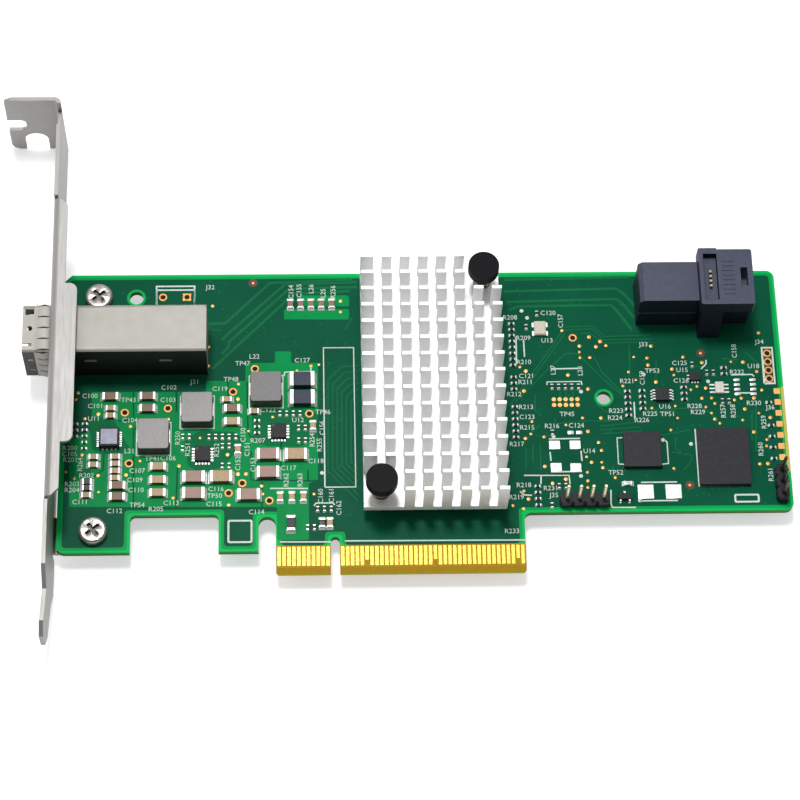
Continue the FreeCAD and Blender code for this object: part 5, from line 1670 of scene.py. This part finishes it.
class CARD_OT_chips(bpy.types.Operator):
    """Finishes the chips with their dimples, the oscillator, resonator, transistor and status light"""
    bl_idname = "card.chips"
    bl_label = "Chips"

    def execute(self, context):
        sizes, colours = sizes_of(context), colours_of(context)
        tin = solder_tin(colours)
        epoxy = moulded("chip_moulding_epoxy", colours.chip, 0.48)
        for node in ("flash_chip", "memory_chip", "interface_chip", "logic_chip", "transistor"):
            dressed(node, epoxy, sizes.chip_edge)
        corners = []
        for node in ("flash_chip", "memory_chip", "interface_chip", "regulator_chips"):
            for low, high in solid_boxes(node):
                inset = DIMPLE_INSET * (high.x - low.x)
                corners.append(((low.x + inset, high.y - inset, high.z), ONE, 0.0))
        dimple = lathe("dimple", DIMPLE, 20)
        polished = moulded("polished_dimple", shade(colours.chip, DIMPLE_SHADE), 0.3)
        handed_over(copies(dimple, corners, "pin_one_dimples"), [polished])
        for node in ("interface_chip_leads", "transistor_leads", "status_light_ends"):
            dressed(node, tin)
        dressed("resonator", fired_ceramic("white_ceramic", colours.ceramic_white))
        dressed("clock_oscillator", fired_ceramic("beige_ceramic", colours.beige))
        dressed("status_light", clear_lens(colours))
        return {"FINISHED"}


def pin_feet(node):
    """Where a node's pins leave the solder face."""
    deepest = BOARD_LOW.z - PIN_FOOT_DEPTH
    points = [vertex.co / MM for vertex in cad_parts[node].data.vertices]
    feet = []
    for low, high in solid_boxes(node):
        found = [point for point in points if point.z < deepest
                 and all(low[axis] - PIN_FOOT_MARGIN <= point[axis] <= high[axis] + PIN_FOOT_MARGIN
                         for axis in (0, 1))]
        if found:
            feet.append(tuple(sum(point[axis] for point in found) / len(found) for axis in (0, 1)))
    return feet


class CARD_OT_headers(bpy.types.Operator):
    """Finishes the pin headers and adds the solder round their pins"""
    bl_idname = "card.headers"
    bl_label = "Pin headers"

    def execute(self, context):
        colours = colours_of(context)
        nylon = moulded("header_nylon", colours.header, 0.45)
        for node in ("pin_header_body", "edge_header_body"):
            dressed(node, nylon)
        joint = lathe("joint", [(radius, BOARD_LOW.z - depth) for radius, depth in PIN_JOINT], 20)
        feet = pin_feet("pin_header_pins") + pin_feet("edge_header_pins")
        handed_over(copies(joint, at(feet), "header_solder_joints"), [solder_tin(colours)])
        dressed("pin_header_pins", plated_gold("pin_gold", colours.pin, 0.3))
        # The edge header's pins take a dark gold: painted shade
        dressed("edge_header_pins", plated_gold("tarnished_pin", colours.pin_painted_shade, 0.4))
        return {"FINISHED"}


def set_floor(colour):
    """A plain pale floor that keeps the shadow and shows near white to the camera and in reflections."""
    bpy.ops.object.select_all(action="DESELECT")
    bpy.ops.mesh.primitive_plane_add(size=FLOOR_SIDE, location=(0, 0, CAD_BOX[0][2]))
    floor = settled(bpy.context.object)
    floor.name = "floor"
    paint = Finish("white_studio_floor", colour, 0.9, Specular_IOR_Level=0.0)
    paint.shader.inputs["Emission Color"].default_value = opaque(ONE)
    rays = add(paint.tree, "ShaderNodeLightPath").outputs
    seen = reckoned(paint.tree, "MAXIMUM", rays["Is Camera Ray"], rays["Is Glossy Ray"])
    seen = reckoned(paint.tree, "MAXIMUM", seen, rays["Is Transmission Ray"])
    paint.fed("Emission Strength", reckoned(paint.tree, "MULTIPLY", seen, FLOOR_LIFT))
    floor.data.materials.append(paint.material)


def set_sky(scene):
    """A white sky that is brighter to one side, and plain white to the camera."""
    world = bpy.data.worlds.new("studio")
    world.use_nodes = True
    scene.world = world
    tree = world.node_tree
    sky = tree.nodes["Background"]
    sky.inputs["Color"].default_value = opaque(ONE)
    coords = add(tree, "ShaderNodeTexCoord").outputs["Generated"]
    way = add(tree, "ShaderNodeVectorMath", {0: coords, 1: SKY_WAY}, operation="DOT_PRODUCT").outputs["Value"]
    soft = add(tree, "ShaderNodeMapRange", {
        "Value": way, "From Min": SKY_RANGE[0], "From Max": SKY_RANGE[1],
        "To Min": SKY_FRONT, "To Max": SKY_BACK}, interpolation_type="SMOOTHSTEP").outputs[0]
    camera_ray = add(tree, "ShaderNodeLightPath").outputs["Is Camera Ray"]
    strength = add(tree, "ShaderNodeMix", {"Factor": camera_ray, 2: soft, 3: 1.0}).outputs[0]
    tree.links.new(strength, sky.inputs["Strength"])


def set_lamp(scene):
    """A soft square lamp above and behind the card."""
    lamp = bpy.data.lights.new("key_behind", "AREA")
    lamp.shape = "SQUARE"
    lamp.size = LAMP_SIZE
    lamp.energy = LAMP_POWER
    holder = bpy.data.objects.new("key_behind", lamp)
    scene.collection.objects.link(holder)
    holder.location = LAMP_PLACE
    aim = VIEW_TARGET * MM - holder.location
    holder.rotation_euler = aim.to_track_quat("-Z", "Y").to_euler()


def set_camera(scene):
    """The camera, where the photograph was taken from."""
    lens = bpy.data.cameras.new("photograph_view")
    lens.sensor_width = SENSOR
    lens.lens = VIEW_FOCAL_PIXELS / PHOTO_SIDE * SENSOR
    lens.clip_start = CLIP_START
    camera = bpy.data.objects.new("photograph_view", lens)
    scene.collection.objects.link(camera)
    turn = Matrix((RIGHT, UP, BACK)).transposed().to_4x4()
    camera.matrix_world = Matrix.Translation(EYE * MM) @ turn
    scene.camera = camera


class CARD_OT_studio(bpy.types.Operator):
    """Sets the floor, sky, lamp and camera"""
    bl_idname = "card.studio"
    bl_label = "Studio"

    def execute(self, context):
        context.scene.view_settings.view_transform = "Standard"
        set_floor(colours_of(context).floor)
        set_sky(context.scene)
        set_lamp(context.scene)
        set_camera(context.scene)
        return {"FINISHED"}


STEPS = (CARD_OT_board, CARD_OT_pads, CARD_OT_legend, CARD_OT_contacts, CARD_OT_bracket, CARD_OT_screws,
         CARD_OT_external_port, CARD_OT_heat_sink, CARD_OT_push_pins, CARD_OT_internal_port,
         CARD_OT_power_parts, CARD_OT_chip_parts, CARD_OT_chips, CARD_OT_headers, CARD_OT_studio)


class CARD_PT_sidebar(bpy.types.Panel):
    """Lists the steps that dress the card"""
    bl_idname = "CARD_PT_sidebar"
    bl_label = "Storage adapter card"
    bl_space_type = "VIEW_3D"
    bl_region_type = "UI"
    bl_category = "Card"

    def draw(self, context):
        for step in STEPS:
            self.layout.operator(step.bl_idname)


CLASSES = (CardSizes, CardColours) + STEPS + (CARD_PT_sidebar,)


def register():
    for kind in CLASSES:
        bpy.utils.register_class(kind)
    bpy.types.Scene.card_sizes = bpy.props.PointerProperty(type=CardSizes)
    bpy.types.Scene.card_colours = bpy.props.PointerProperty(type=CardColours)


def unregister():
    del bpy.types.Scene.card_colours
    del bpy.types.Scene.card_sizes
    for kind in reversed(CLASSES):
        bpy.utils.unregister_class(kind)


def main():
    register()
    for step in STEPS:
        getattr(bpy.ops.card, step.bl_idname.split(".")[1])()


if __name__ == "__main__":
    main()
